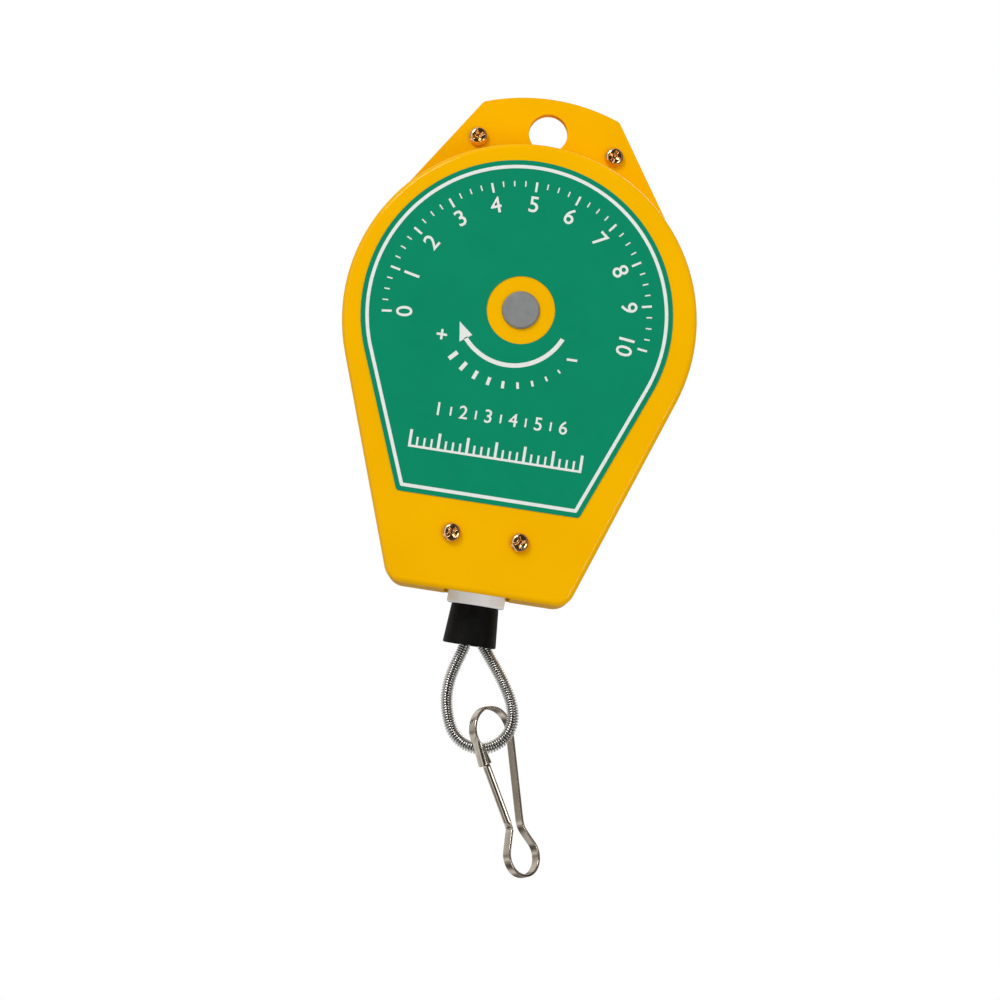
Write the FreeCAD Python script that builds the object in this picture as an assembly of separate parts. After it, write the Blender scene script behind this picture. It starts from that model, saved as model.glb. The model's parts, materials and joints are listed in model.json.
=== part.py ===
import FreeCAD, Part
import math
import os

# Spring tool balancer. Millimetres, +Z up, the front faces -Y, X to the right.
# Origin: centre of the hanging hole, midway through the depth of the case.

V = FreeCAD.Vector
X = V(1, 0, 0)
Y = V(0, 1, 0)
Z = V(0, 0, 1)

# ---------------------------------------------------------------- case
CASE_DEPTH = 40.0          # front face to rear face
SHEET = 1.5                # steel sheet of the two covers
SEAM = 0.2                 # gap between the two cover walls
FACE_BEND = 2.0            # outside radius where face turns into wall
DOME_R = 60.8              # round upper part of the case
DOME_DROP = 3.0            # dome centre below the shaft
SIDE_ANGLE = 19.4          # side walls from the vertical, degrees
CASE_FOOT = 98.2           # shaft down to the bottom edge
FOOT_CORNER = 6.5          # outside radius of the two bottom corners
MOUTH_HALF = 11.5          # half width of the cable opening
MOUTH_ROUND = 2.0          # rounded corners of the opening at the seam

# ---------------------------------------------------------------- hanger tab
HANG_HOLE_R = 6.75
HOLE_RISE = 0.75           # top of the dome up to the edge of the hole
TAB_GAP = 2.0              # between the two tab sheets
TAB_RISE = 12.0            # hole centre up to the top of the tab
TAB_TOP_R = 69.0           # curved top edge
TAB_HALF_TOP = 24.0        # half width at the top corners
TAB_SIDE_ANGLE = 33.7      # tab sides from the vertical, degrees
TAB_CORNER = 3.0
TAB_ROOT_ANGLE = 30.0      # where the tab ends on the dome, from the horizontal

# ---------------------------------------------------------------- screws
SCREW_R = 1.5              # M3 shank
SCREW_FREE = 0.1           # radial clearance of a screw in its hole
THREAD_END = 1.2           # screw beyond its nut
HEAD_R = 3.35
HEAD_H = 2.3
RECESS_ARM = 3.6           # cross recess, tip to tip
RECESS_W = 0.8
RECESS_D = 1.3
NUT_AF = 5.5
NUT_H = 2.4
TOP_SCREW_X = 24.0
TOP_SCREW_Z = -4.9         # from the hanging hole
FOOT_SCREW_X = 11.7
FOOT_SCREW_DROP = 78.8     # below the shaft
SPACER_R = 2.75
TAB_SPACER_R = 4.0

# ---------------------------------------------------------------- label
LABEL_T = 0.25
LABEL_DROP = 1.8           # centre of the label arc below the shaft
LABEL_R = 53.4
LABEL_SHIFT = -1.1         # label off the case's centre line
LABEL_ANGLE = 21.6
LABEL_FOOT = 67.4
LABEL_CORNER = 1.5
LABEL_HOLE_R = 11.7

# ---------------------------------------------------------------- shaft
RUN = 0.07                 # radial running clearance
PLAY = 0.3                 # end play between turning faces
JOURNAL_R = 6.45
SHAFT_PROUD = 1.2          # shaft end in front of the case
ARBOR_R = 10.0
ARBOR_FRONT = -10.6
ARBOR_REAR = 5.6
SEAT_FLATS = 5.2           # half distance over the ratchet seat's flats
REAR_JOURNAL_R = 5.2
HEX_AF = 9.0               # wrench end
HEX_PROUD = 9.5            # wrench end behind the case
HEX_START = 1.2            # round journal behind the case
HEX_TIP_R = 4.2
STRIP_SLOT = 4.0           # depth of the mainspring's slot
GROOVE_R = 4.5
RING_T = 1.0
RING_MOUTH = 6.0
RING_UP = 3.0              # rings beyond their journals
WASHER_T = 1.2
WASHER_R = 11.0
BUSH_WALL = 1.55
BUSH_FLANGE_T = 1.0
BUSH_FLANGE_R = 10.0
REAR_BUSH_R = 8.0

# ---------------------------------------------------------------- drum
ROPE_R = 1.0
ROPE_PITCH = 2.25
ROPE_SLACK = 0.03          # rope drawn this much thinner where it is wound
ROPE_TURNS = 6
WRAP_R = 40.0              # shaft to rope centre
FLANGE_UP = 7.0            # flanges beyond the rope's centre
LAND_UP = 4.5              # rim that carries the cover's screws, beyond the rope's centre
SCREW_UP = 1.0             # screw circle beyond the rope's centre
CUP_WALL = 5.5             # spring cup to the floor of the rope groove
COVER_FRONT = -14.5        # front face of the drum cover
DRUM_FRONT = -13.0
LAND_REAR = -6.0
FLANGE_FRONT = 8.0
WEB_FRONT = 7.5
DRUM_REAR = 11.0
HUB_R = 13.0
HUB_FRONT = 6.0
COVER_HUB_REAR = -11.0
DRUM_SCREWS = 4
DRUM_SCREW_LEN = 6.0
LIGHTENERS = 6
LIGHTENER_R = 6.0
LIGHTENER_IN = 10.0        # inside of the cup to the circle of the holes
LIGHTENER_TURN = 30.0      # degrees to the first hole

# ---------------------------------------------------------------- mainspring
STRIP_T = 0.5
STRIP_HALF = 7.0
SPRING_TURNS = 9
SPRING_IN = 0.6            # arbor to the first turn
SPRING_OUT = 0.6           # last turn to the inside of the cup
STRIP_MIDDLE = -2.5        # middle of the strip's width along the shaft
STRIP_HOOK = 3.6           # length of the strip's end in the shaft
STRIP_END = 2.5            # length of the strip's end in the drum
STRIP_FREE = 0.25          # strip in its slots

# ---------------------------------------------------------------- ratchet
RATCHET_TEETH = 12
RATCHET_R = 19.0
RATCHET_ROOT = 15.6
RATCHET_T = 3.5
PAWL_T = 2.5
PAWL_HUB_R = 5.2
PAWL_PIN_R = 3.0
PAWL_PIVOT_OUT = 3.5       # tooth tips out to the pivot's line
PAWL_Z = 15.5              # pivot above the shaft
PAWL_GAP = 0.15            # pawl tip to the flank and the root of its tooth
PAWL_OVER = 0.6            # pawl tip beyond the tooth tips
PEG_R = 2.0                # release peg of the pawl
PEG_REACH = 4.5            # peg behind the case
PEG_OUT = 15.0             # pawl pivot to peg
PAWL_LIFT = 15.0           # degrees, sets the length of the peg's slot
WIRE_R = 0.4               # pawl spring wire
PAWL_COILS = 3

# ---------------------------------------------------------------- cable guide
THROAT_DROP = 92.0         # shaft down to the guide's throat
GUIDE_BORE = 1.6
TAIL_TOP = 95.5            # shaft down to where the moving rope starts
GUIDE_TOP_R = 12.0
GUIDE_FLANGE_R = 14.5
GUIDE_FLANGE_T = 3.0
COLLAR_R = 10.0
COLLAR_OUT = 3.5           # collar below the case
FUNNEL_R = 9.6

# ---------------------------------------------------------------- cable end
BUMPER_TOP_R = 8.2
BUMPER_FOOT_R = 9.3
BUMPER_H = 13.8
BUMPER_POCKET_R = 8.2
BUMPER_POCKET_H = 5.5
FERRULE_R = 4.0
FERRULE_H = 5.6
TAIL_GRIP = 2.5            # rope held in the top of the ferrule
SHEATH_R = 2.15
SHEATH_BORE = 1.35
ARC_SHARE = 0.45           # part of a run that the arc at its end may take
# Centre line of the rope's loop: (x, height over the bumper's foot), left end to right end.
LOOP_ROUTE = [(-1.1, 8.3), (-1.1, 4.4), (-1.4, -0.8), (-3.4, -6.4), (-4.9, -12.6), (-5.1, -19.1),
              (-3.5, -25.5), (-0.6, -31.4), (5.1, -34.7), (11.7, -34.4), (17.0, -30.6),
              (19.3, -24.5), (18.0, -18.1), (14.7, -12.3), (10.9, -7.0), (6.8, -2.0),
              (3.4, 2.5), (1.3, 5.6), (1.1, 8.3)]

# ---------------------------------------------------------------- snap hook
STRIP_W = 3.6
HOOK_T = 1.0
HOOK_LEN = 60.3
HOOK_TOP_R = 8.7           # centre line of the strip round the top
HOOK_EYE_R = 6.9           # centre line of the strip round the eye
NECK_UP = 17.1             # foot of the hook up to its neck
NECK_HALF = 2.65
NOSE_DROP = 10.5           # centre of the top down to the end of the nose
NOSE_IN = 0.4
NOSE_W = 5.2
NOSE_DEPTH = 2.7
NOSE_WALL = 0.7
NOSE_ROUND = 1.1
HOOK_LEAN = 22.5           # degrees
HOOK_TURN = 44.0           # about its own length, degrees
HOOK_X = 12.3              # centre of the hook's top
HOOK_DROP = 28.5           # centre of the hook's top below the bumper
HOOK_Y = 0.2
GATE_R = 1.75              # half-round tongue
GATE_TIP = 8.0             # centre of the top down to the tongue's tip
GATE_FREE = 0.35           # tongue to nose and to the end of the strip

HOLE_TO_SHAFT = DOME_R - DOME_DROP + HANG_HOLE_R + HOLE_RISE
PAWL_X = -RATCHET_R - PAWL_PIVOT_OUT
SHAFT_Z = -HOLE_TO_SHAFT
HALF = CASE_DEPTH / 2
FLANGE_R = WRAP_R + FLANGE_UP
LAND_R = WRAP_R + LAND_UP
DRUM_SCREW_R = WRAP_R + SCREW_UP
FLOOR_R = WRAP_R - ROPE_R
CUP_R = FLOOR_R - CUP_WALL
LIGHTENER_CIRCLE = CUP_R - LIGHTENER_IN
SPRING_IN_R = ARBOR_R + SPRING_IN
SPRING_OUT_R = CUP_R - SPRING_OUT
INNER = HALF - SHEET
FOOT_Z = SHAFT_Z - CASE_FOOT
DOME_Z = SHAFT_Z - DOME_DROP
S0 = V(0, 0, SHAFT_Z)


def rod(r, y0, y1, x=0.0, z=SHAFT_Z):
    """Cylinder along Y from y0 to y1."""
    return Part.makeCylinder(r, y1 - y0, V(x, y0, z), Y)


def post(r, z0, z1, x=0.0, y=0.0):
    """Cylinder along Z from z0 to z1."""
    return Part.makeCylinder(r, z1 - z0, V(x, y, z0), Z)


def slab(points, y0, y1):
    """Polygon in XZ, extruded from y0 to y1."""
    ring = [V(x, y0, z) for x, z in points]
    face = Part.Face(Part.makePolygon(ring + [ring[0]]))
    return face.extrude(V(0, y1 - y0, 0))


def turned(points):
    """Polygon of (radius, y) turned about the shaft axis."""
    ring = [V(r, y, SHAFT_Z) for r, y in points]
    face = Part.Face(Part.makePolygon(ring + [ring[0]]))
    return face.revolve(S0, Y, 360)


def hexagon(af, y0, y1, x=0.0, z=SHAFT_Z, start=30.0):
    """Hexagonal bar along Y."""
    r = af / 2 / math.cos(math.radians(30))
    angles = [math.radians(start + 60 * i) for i in range(6)]
    return slab([(x + r * math.cos(a), z + r * math.sin(a)) for a in angles], y0, y1)


def along_y(shape, test, r):
    """Rounds the shape's edges that run along Y and pass the test."""
    edges = []
    for e in shape.Edges:
        p, q = e.Vertexes[0].Point, e.Vertexes[-1].Point
        flat = abs(p.x - q.x) < 1e-6 and abs(p.z - q.z) < 1e-6
        if flat and abs(p.y - q.y) > 0.01 and test(p):
            edges.append(e)
    return shape.makeFillet(r, edges)


def bulb(radius, centre_z, angle, foot_z, corner, y0, y1):
    """Round top, straight sides leaning in, flat foot with rounded corners."""
    a = math.radians(angle)
    tx = radius * math.cos(a)
    tz = centre_z - radius * math.sin(a)
    fx = tx - (tz - foot_z) * math.tan(a)
    top = Part.Arc(V(tx, y0, tz), V(0, y0, centre_z + radius), V(-tx, y0, tz)).toShape()
    pts = [V(-tx, y0, tz), V(-fx, y0, foot_z), V(fx, y0, foot_z), V(tx, y0, tz)]
    lines = [Part.makeLine(p, q) for p, q in zip(pts, pts[1:])]
    face = Part.Face(Part.Wire([top] + lines))
    solid = face.extrude(V(0, y1 - y0, 0))
    return along_y(solid, lambda p: abs(p.z - foot_z) < 1e-6, corner)


def face_edges(shape, y):
    """All edges of the shape that lie in the plane at y."""
    found = []
    for e in shape.Edges:
        b = e.BoundBox
        if abs(b.YMin - y) < 1e-6 and abs(b.YMax - y) < 1e-6:
            found.append(e)
    return found


def mirror_y(shape):
    """The same shape on the other side of the case's middle plane."""
    return shape.mirror(V(0, 0, 0), Y)


# ------------------------------------------------------------ two covers
def tab_plate():
    """Front sheet of the hanger tab, with its lower edge inside the wall."""
    y0 = -TAB_GAP / 2 - SHEET
    y1 = -TAB_GAP / 2
    a = math.radians(TAB_SIDE_ANGLE)
    corner_z = TAB_RISE - TAB_TOP_R + math.sqrt(TAB_TOP_R ** 2 - TAB_HALF_TOP ** 2)
    low_z = DOME_Z + DOME_R * math.sin(math.radians(TAB_ROOT_ANGLE))
    low_x = TAB_HALF_TOP + (corner_z - low_z) * math.tan(a)
    top = Part.Arc(V(-TAB_HALF_TOP, y0, corner_z), V(0, y0, TAB_RISE),
                   V(TAB_HALF_TOP, y0, corner_z)).toShape()
    pts = [V(TAB_HALF_TOP, y0, corner_z), V(low_x, y0, low_z), V(-low_x, y0, low_z),
           V(-TAB_HALF_TOP, y0, corner_z)]
    lines = [Part.makeLine(p, q) for p, q in zip(pts, pts[1:])]
    plate = Part.Face(Part.Wire([top] + lines)).extrude(V(0, y1 - y0, 0))
    plate = along_y(plate, lambda p: abs(p.z - corner_z) < 1e-6, TAB_CORNER)
    inside = rod(DOME_R - SHEET / 2, y0 - 1, y1 + 1, 0, DOME_Z)
    plate = plate.cut(inside)
    wide = 2 * low_x
    trim = slab([(-wide, low_z - wide), (wide, low_z - wide), (wide, low_z + 0.01),
                 (-wide, low_z + 0.01)], y0 - 1, y1 + 1)
    return plate.cut(trim)


def cover_shell():
    """Drawn steel half: face, wall, tab and cable opening, as the front one."""
    outer = bulb(DOME_R, DOME_Z, SIDE_ANGLE, FOOT_Z, FOOT_CORNER, -HALF, -SEAM / 2)
    outer = outer.makeFillet(FACE_BEND, face_edges(outer, -HALF))
    inner = bulb(DOME_R - SHEET, DOME_Z, SIDE_ANGLE, FOOT_Z + SHEET,
                 FOOT_CORNER - SHEET, -INNER, -SEAM / 2 + 1)
    inner = inner.makeFillet(FACE_BEND - SHEET, face_edges(inner, -INNER))
    shell = outer.cut(inner)
    shell = shell.fuse(tab_plate()).removeSplitter()
    mouth = slab([(-MOUTH_HALF, FOOT_Z - 1), (MOUTH_HALF, FOOT_Z - 1),
                  (MOUTH_HALF, FOOT_Z + 3 * SHEET), (-MOUTH_HALF, FOOT_Z + 3 * SHEET)],
                 -INNER - 0.4, 1)
    shell = shell.cut(mouth)
    corners = []
    for e in shell.Edges:
        p, q = e.Vertexes[0].Point, e.Vertexes[-1].Point
        upright = abs(p.x - q.x) + abs(p.y - q.y) < 1e-6 and abs(abs(p.x) - MOUTH_HALF) < 1e-6
        if upright and abs(p.y + SEAM / 2) < 1e-6:
            corners.append(e)
    shell = shell.makeFillet(MOUTH_ROUND, corners)
    shell = shell.cut(rod(HANG_HOLE_R, -HALF, 0, 0, 0))
    for side in (-1, 1):
        shell = shell.cut(rod(SCREW_R + SCREW_FREE, -HALF, 0, side * TOP_SCREW_X, TOP_SCREW_Z))
        shell = shell.cut(rod(SCREW_R + SCREW_FREE, -HALF - 1, -INNER + 1,
                              side * FOOT_SCREW_X, SHAFT_Z - FOOT_SCREW_DROP))
    return shell


def front_cover():
    return cover_shell().cut(rod(JOURNAL_R + RUN, -HALF - 1, -INNER + 1))


def peg_slot():
    """Arc slot in the rear cover that the release peg moves in."""
    pivot = V(PAWL_X, 0, SHAFT_Z + PAWL_Z)
    start = math.radians(PEG_ANGLE - 3)
    stop = math.radians(PEG_ANGLE + PAWL_LIFT + 3)
    wide = PEG_R + 0.6
    ring = rod(PEG_OUT + wide, INNER - 1, HALF + 1, pivot.x, pivot.z)
    ring = ring.cut(rod(PEG_OUT - wide, INNER - 2, HALF + 2, pivot.x, pivot.z))
    far = PEG_OUT * 3
    wedge = slab([(pivot.x, pivot.z),
                  (pivot.x + far * math.cos(start), pivot.z + far * math.sin(start)),
                  (pivot.x + far * math.cos(stop), pivot.z + far * math.sin(stop))],
                 INNER - 1, HALF + 1)
    slot = ring.common(wedge)
    for a in (start, stop):
        slot = slot.fuse(rod(wide, INNER - 1, HALF + 1, pivot.x + PEG_OUT * math.cos(a),
                             pivot.z + PEG_OUT * math.sin(a)))
    return slot


def rear_cover():
    shell = mirror_y(cover_shell())
    shell = shell.cut(rod(REAR_BUSH_R, INNER - 1, HALF + 1))
    shell = shell.cut(rod(PAWL_PIN_R, INNER - 1, HALF + 1, PAWL_X, SHAFT_Z + PAWL_Z))
    hole = rod(WIRE_R + 0.08, INNER - 1, HALF + 1, PAWL_X + LEG_OUT, SHAFT_Z + PAWL_Z + COIL_R)
    return shell.cut(peg_slot()).cut(hole)


def face_label():
    """Thin plate glued on the front face."""
    y0 = -HALF - LABEL_T
    plate = bulb(LABEL_R, SHAFT_Z - LABEL_DROP, LABEL_ANGLE, SHAFT_Z - LABEL_FOOT,
                 LABEL_CORNER, y0, -HALF)
    plate.translate(V(LABEL_SHIFT, 0, 0))
    return plate.cut(rod(LABEL_HOLE_R, y0 - 1, -HALF + 1))


# ------------------------------------------------------------ fasteners
def pan_screw(x, z, y_face, length, recess=True):
    """Pan-head screw: head in front of y_face, shank behind it."""
    head = rod(HEAD_R, y_face - HEAD_H, y_face, x, z)
    rim = face_edges(head, y_face - HEAD_H)
    head = head.makeFillet(HEAD_H * 0.62, rim)
    screw = head.fuse(rod(SCREW_R, y_face, y_face + length, x, z))
    if recess:
        for dx, dz in ((RECESS_ARM / 2, RECESS_W / 2), (RECESS_W / 2, RECESS_ARM / 2)):
            arm = slab([(x - dx, z - dz), (x + dx, z - dz), (x + dx, z + dz), (x - dx, z + dz)],
                       y_face - HEAD_H - 1, y_face - HEAD_H + RECESS_D)
            screw = screw.cut(arm)
    return screw.removeSplitter()


def nut(x, z, y0):
    return hexagon(NUT_AF, y0, y0 + NUT_H, x, z).cut(rod(SCREW_R, y0 - 1, y0 + NUT_H + 1, x, z))


def pairs(make, x):
    return Part.makeCompound([make(-x), make(x)])


def top_screws():
    face = -TAB_GAP / 2 - SHEET
    length = 2 * SHEET + TAB_GAP + NUT_H + THREAD_END
    return pairs(lambda x: pan_screw(x, TOP_SCREW_Z, face, length), TOP_SCREW_X)


def foot_screws():
    z = SHAFT_Z - FOOT_SCREW_DROP
    return pairs(lambda x: pan_screw(x, z, -HALF, CASE_DEPTH + NUT_H + THREAD_END), FOOT_SCREW_X)


def case_nuts():
    z = SHAFT_Z - FOOT_SCREW_DROP
    tab_rear = TAB_GAP / 2 + SHEET
    all_nuts = [nut(s * TOP_SCREW_X, TOP_SCREW_Z, tab_rear) for s in (-1, 1)]
    all_nuts += [nut(s * FOOT_SCREW_X, z, HALF) for s in (-1, 1)]
    return Part.makeCompound(all_nuts)


def tube(r_out, r_in, y0, y1, x, z):
    return rod(r_out, y0, y1, x, z).cut(rod(r_in, y0 - 1, y1 + 1, x, z))


def tab_spacers():
    h = TAB_GAP / 2
    bore = SCREW_R + SCREW_FREE
    return pairs(lambda x: tube(TAB_SPACER_R, bore, -h, h, x, TOP_SCREW_Z), TOP_SCREW_X)


def foot_spacers():
    z = SHAFT_Z - FOOT_SCREW_DROP
    bore = SCREW_R + SCREW_FREE
    return pairs(lambda x: tube(SPACER_R, bore, -INNER, INNER, x, z), FOOT_SCREW_X)


# ------------------------------------------------------------ shaft line
WASHER_Y = -INNER + 0.05
FRONT_RING_Y = WASHER_Y + WASHER_T + 0.05
FRONT_BUSH_Y = COVER_FRONT - BUSH_FLANGE_T
SEAT_Y = DRUM_REAR + BUSH_FLANGE_T + PLAY
SEAT_END = SEAT_Y + RATCHET_T
REAR_RING_Y = SEAT_END + 0.1


def beyond_flat(side, y0, y1):
    """Block beyond one flat of the ratchet seat; side is +1 above the shaft, -1 below."""
    edge = SHAFT_Z + side * SEAT_FLATS
    rim = SHAFT_Z + side * (JOURNAL_R + 2)
    wide = JOURNAL_R + 2
    return slab([(-wide, edge), (wide, edge), (wide, rim), (-wide, rim)], y0, y1)


def shaft():
    """Front journal, spring arbor, ratchet seat, rear journal, hexagon end."""
    body = rod(JOURNAL_R, -HALF - SHAFT_PROUD, SEAT_END)
    body = body.makeChamfer(0.5, face_edges(body, -HALF - SHAFT_PROUD))
    body = body.fuse(rod(ARBOR_R, ARBOR_FRONT, ARBOR_REAR))
    for side in (-1, 1):
        body = body.cut(beyond_flat(side, SEAT_Y, SEAT_END))
    hex_y = HALF + HEX_START
    body = body.fuse(rod(REAR_JOURNAL_R, SEAT_END, hex_y))
    hex_end = hexagon(HEX_AF, hex_y, HALF + HEX_PROUD)
    cone = turned([(0, hex_y), (REAR_JOURNAL_R, hex_y),
                   (REAR_JOURNAL_R, HALF + HEX_PROUD - 1), (HEX_TIP_R, HALF + HEX_PROUD),
                   (0, HALF + HEX_PROUD)])
    body = body.fuse(hex_end.common(cone))
    for y in (FRONT_RING_Y, REAR_RING_Y):
        body = body.cut(tube(JOURNAL_R + 1, GROOVE_R, y, y + RING_T, 0, SHAFT_Z))
    slot = Part.makeBox(STRIP_T + 2 * STRIP_FREE, 2 * STRIP_HALF + 4 * STRIP_FREE, STRIP_SLOT + 1,
                        V(-STRIP_T / 2 - STRIP_FREE, STRIP_MIDDLE - STRIP_HALF - 2 * STRIP_FREE,
                          SHAFT_Z + ARBOR_R - STRIP_SLOT))
    return body.cut(slot).removeSplitter()


def retaining_ring(y, r_out):
    """E-shaped ring in a groove of the shaft."""
    ring = tube(r_out, GROOVE_R + 0.03, y + 0.03, y + RING_T - 0.03, 0, SHAFT_Z)
    half = RING_MOUTH / 2
    mouth = slab([(-half, SHAFT_Z), (half, SHAFT_Z), (half, SHAFT_Z - r_out - 1),
                  (-half, SHAFT_Z - r_out - 1)], y - 1, y + RING_T + 1)
    return ring.cut(mouth)


def retaining_rings():
    return Part.makeCompound([retaining_ring(FRONT_RING_Y, JOURNAL_R + RING_UP),
                              retaining_ring(REAR_RING_Y, REAR_JOURNAL_R + RING_UP)])


def thrust_washer():
    return tube(WASHER_R, JOURNAL_R + RUN, WASHER_Y, WASHER_Y + WASHER_T, 0, SHAFT_Z)


def rear_bush():
    """Flanged bush pressed into the rear cover."""
    body = rod(REAR_BUSH_R, INNER, HALF + 0.6)
    body = body.fuse(rod(WASHER_R, INNER - BUSH_FLANGE_T, INNER))
    return body.cut(rod(REAR_JOURNAL_R + RUN, INNER - WASHER_R, HALF + WASHER_R)).removeSplitter()


def drum_bush(y0, y1, flange_y):
    body = rod(JOURNAL_R + RUN + BUSH_WALL, y0, y1)
    body = body.fuse(rod(BUSH_FLANGE_R, flange_y, flange_y + BUSH_FLANGE_T))
    return body.cut(rod(JOURNAL_R + RUN, y0 - WASHER_R, y1 + WASHER_R)).removeSplitter()


def drum_bushes():
    front = drum_bush(COVER_FRONT, COVER_HUB_REAR, FRONT_BUSH_Y)
    rear = drum_bush(HUB_FRONT, DRUM_REAR, DRUM_REAR)
    return Part.makeCompound([front, rear])


# ------------------------------------------------------------ drum
BUSH_OUT_R = JOURNAL_R + RUN + BUSH_WALL


def screw_spots():
    return [(DRUM_SCREW_R * math.cos(a), SHAFT_Z + DRUM_SCREW_R * math.sin(a))
            for a in [math.radians(45 + 360.0 / DRUM_SCREWS * i) for i in range(DRUM_SCREWS)]]


def drum():
    """Cast drum: spring cup, rope groove, rear flange and hub."""
    body = turned([(CUP_R, DRUM_FRONT), (LAND_R, DRUM_FRONT), (LAND_R, LAND_REAR),
                   (FLOOR_R, LAND_REAR), (FLOOR_R, FLANGE_FRONT), (FLANGE_R, FLANGE_FRONT),
                   (FLANGE_R, DRUM_REAR), (BUSH_OUT_R, DRUM_REAR), (BUSH_OUT_R, HUB_FRONT),
                   (HUB_R, HUB_FRONT), (HUB_R, WEB_FRONT), (CUP_R, WEB_FRONT)])
    for i in range(LIGHTENERS):
        a = math.radians(360.0 / LIGHTENERS * i + LIGHTENER_TURN)
        body = body.cut(rod(LIGHTENER_R, HUB_FRONT, DRUM_REAR + 1, LIGHTENER_CIRCLE * math.cos(a),
                            SHAFT_Z + LIGHTENER_CIRCLE * math.sin(a)))
    for x, z in screw_spots():
        body = body.cut(rod(SCREW_R, DRUM_FRONT - 1, DRUM_FRONT + DRUM_SCREW_LEN + 1, x, z))
    notch = Part.makeBox(STRIP_END + 1.5, 2 * STRIP_HALF + 4 * STRIP_FREE, STRIP_T + 2 * STRIP_FREE,
                         V(CUP_R - 1.0, STRIP_MIDDLE - STRIP_HALF - 2 * STRIP_FREE,
                           SHAFT_Z - STRIP_T / 2 - STRIP_FREE))
    body = body.cut(notch)
    return body.cut(anchor_hole())


def anchor_hole():
    """Hole through the cup wall that takes the rope's end."""
    a = math.radians(ANCHOR_ANGLE)
    out = V(math.cos(a), 0, math.sin(a))
    start = S0 + out * (CUP_R + ANCHOR_IN - 0.05)
    start.y = ROPE_REAR_Y
    return Part.makeCylinder(ANCHOR_R + 0.05, 3 * ANCHOR_LEN, start, out)


def drum_cover():
    body = turned([(BUSH_OUT_R, COVER_FRONT), (FLANGE_R, COVER_FRONT), (FLANGE_R, DRUM_FRONT),
                   (HUB_R, DRUM_FRONT), (HUB_R, COVER_HUB_REAR), (BUSH_OUT_R, COVER_HUB_REAR)])
    for x, z in screw_spots():
        body = body.cut(rod(SCREW_R + SCREW_FREE, COVER_FRONT - 1, DRUM_FRONT + 1, x, z))
    return body


def drum_screws():
    length = DRUM_FRONT - COVER_FRONT + DRUM_SCREW_LEN
    return Part.makeCompound([pan_screw(x, z, COVER_FRONT, length, False)
                              for x, z in screw_spots()])


def spiral_edge(shift, y):
    """One edge of the coiled strip, as a smooth curve."""
    steps = SPRING_TURNS * 16
    pts = []
    for i in range(steps + 1):
        t = i / steps
        r = SPRING_IN_R + (SPRING_OUT_R - SPRING_IN_R) * t + shift
        a = math.radians(90 + (SPRING_TURNS - 0.25) * 360 * t)
        pts.append(V(r * math.cos(a), y, SHAFT_Z + r * math.sin(a)))
    curve = Part.BSplineCurve()
    curve.interpolate(pts)
    return curve.toShape(), pts[0], pts[-1]


def mainspring():
    """Flat coil spring, with its two ends hooked into shaft and drum."""
    y = STRIP_MIDDLE - STRIP_HALF
    low, a0, a1 = spiral_edge(-STRIP_T / 2, y)
    high, b0, b1 = spiral_edge(STRIP_T / 2, y)
    ring = Part.Wire([low, Part.makeLine(a1, b1), high, Part.makeLine(b0, a0)])
    coil = Part.Face(ring).extrude(V(0, 2 * STRIP_HALF, 0))
    inner = Part.makeBox(STRIP_T, 2 * STRIP_HALF, SPRING_IN + STRIP_HOOK,
                         V(-STRIP_T / 2, y, SHAFT_Z + ARBOR_R - STRIP_HOOK))
    outer = Part.makeBox(SPRING_OUT + STRIP_END, 2 * STRIP_HALF, STRIP_T,
                         V(SPRING_OUT_R, y, SHAFT_Z - STRIP_T / 2))
    return coil.fuse([inner, outer]).removeSplitter()


# ------------------------------------------------------------ rope
ROPE_REAR_Y = FLANGE_FRONT - 1.2
ANCHOR_ANGLE = -60.0
ANCHOR_R = 1.85
ANCHOR_LEN = 3.2
ANCHOR_IN = 1.85           # inside of the cup to the foot of the anchor


def tangent_point():
    """Where the rope leaves the drum towards the throat of the guide."""
    a = math.asin(WRAP_R / THROAT_DROP)
    return V(-WRAP_R * math.cos(a), 0, SHAFT_Z - WRAP_R * math.sin(a))


def exit_y():
    return ROPE_REAR_Y - ROPE_PITCH * (ROPE_TURNS - 1)


def wound_rope():
    """Turns of the rope side by side; the last one ends where the rope leaves."""
    r = ROPE_R - ROPE_SLACK
    rings = []
    for i in range(ROPE_TURNS - 1):
        rings.append(Part.makeTorus(WRAP_R, r, V(0, ROPE_REAR_Y - ROPE_PITCH * i, SHAFT_Z), Y))
    leave = tangent_point()
    leave.y = exit_y()
    centre = V(0, exit_y(), SHAFT_Z)
    a1 = math.atan2(leave.z - SHAFT_Z, leave.x)
    arc = []
    for a in (a1 - math.radians(120), a1 - math.radians(60), a1):
        arc.append(centre + V(WRAP_R * math.cos(a), 0, WRAP_R * math.sin(a)))
    path = Part.Wire([Part.Arc(arc[0], arc[1], arc[2]).toShape()])
    way = (arc[0] - centre).cross(Y)
    last = path.makePipeShell([Part.Wire([Part.makeCircle(r, arc[0], way)])], True, True)
    a2 = a1 - math.radians(125)
    before = centre + V((WRAP_R + 0.05) * math.cos(a2), ROPE_PITCH, (WRAP_R + 0.05) * math.sin(a2))
    step = Part.makeCylinder(r, (before - arc[0]).Length, arc[0], before - arc[0])
    ball = Part.makeSphere(r, arc[0])
    full_end = exit_y() + ROPE_PITCH
    band = turned([(FLOOR_R + ROPE_SLACK, ROPE_REAR_Y), (WRAP_R + 0.3, ROPE_REAR_Y),
                   (WRAP_R + 0.3, full_end), (FLOOR_R + ROPE_SLACK, full_end)])
    return rings[0].fuse(rings[1:] + [last, step, ball, band]).removeSplitter()


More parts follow.
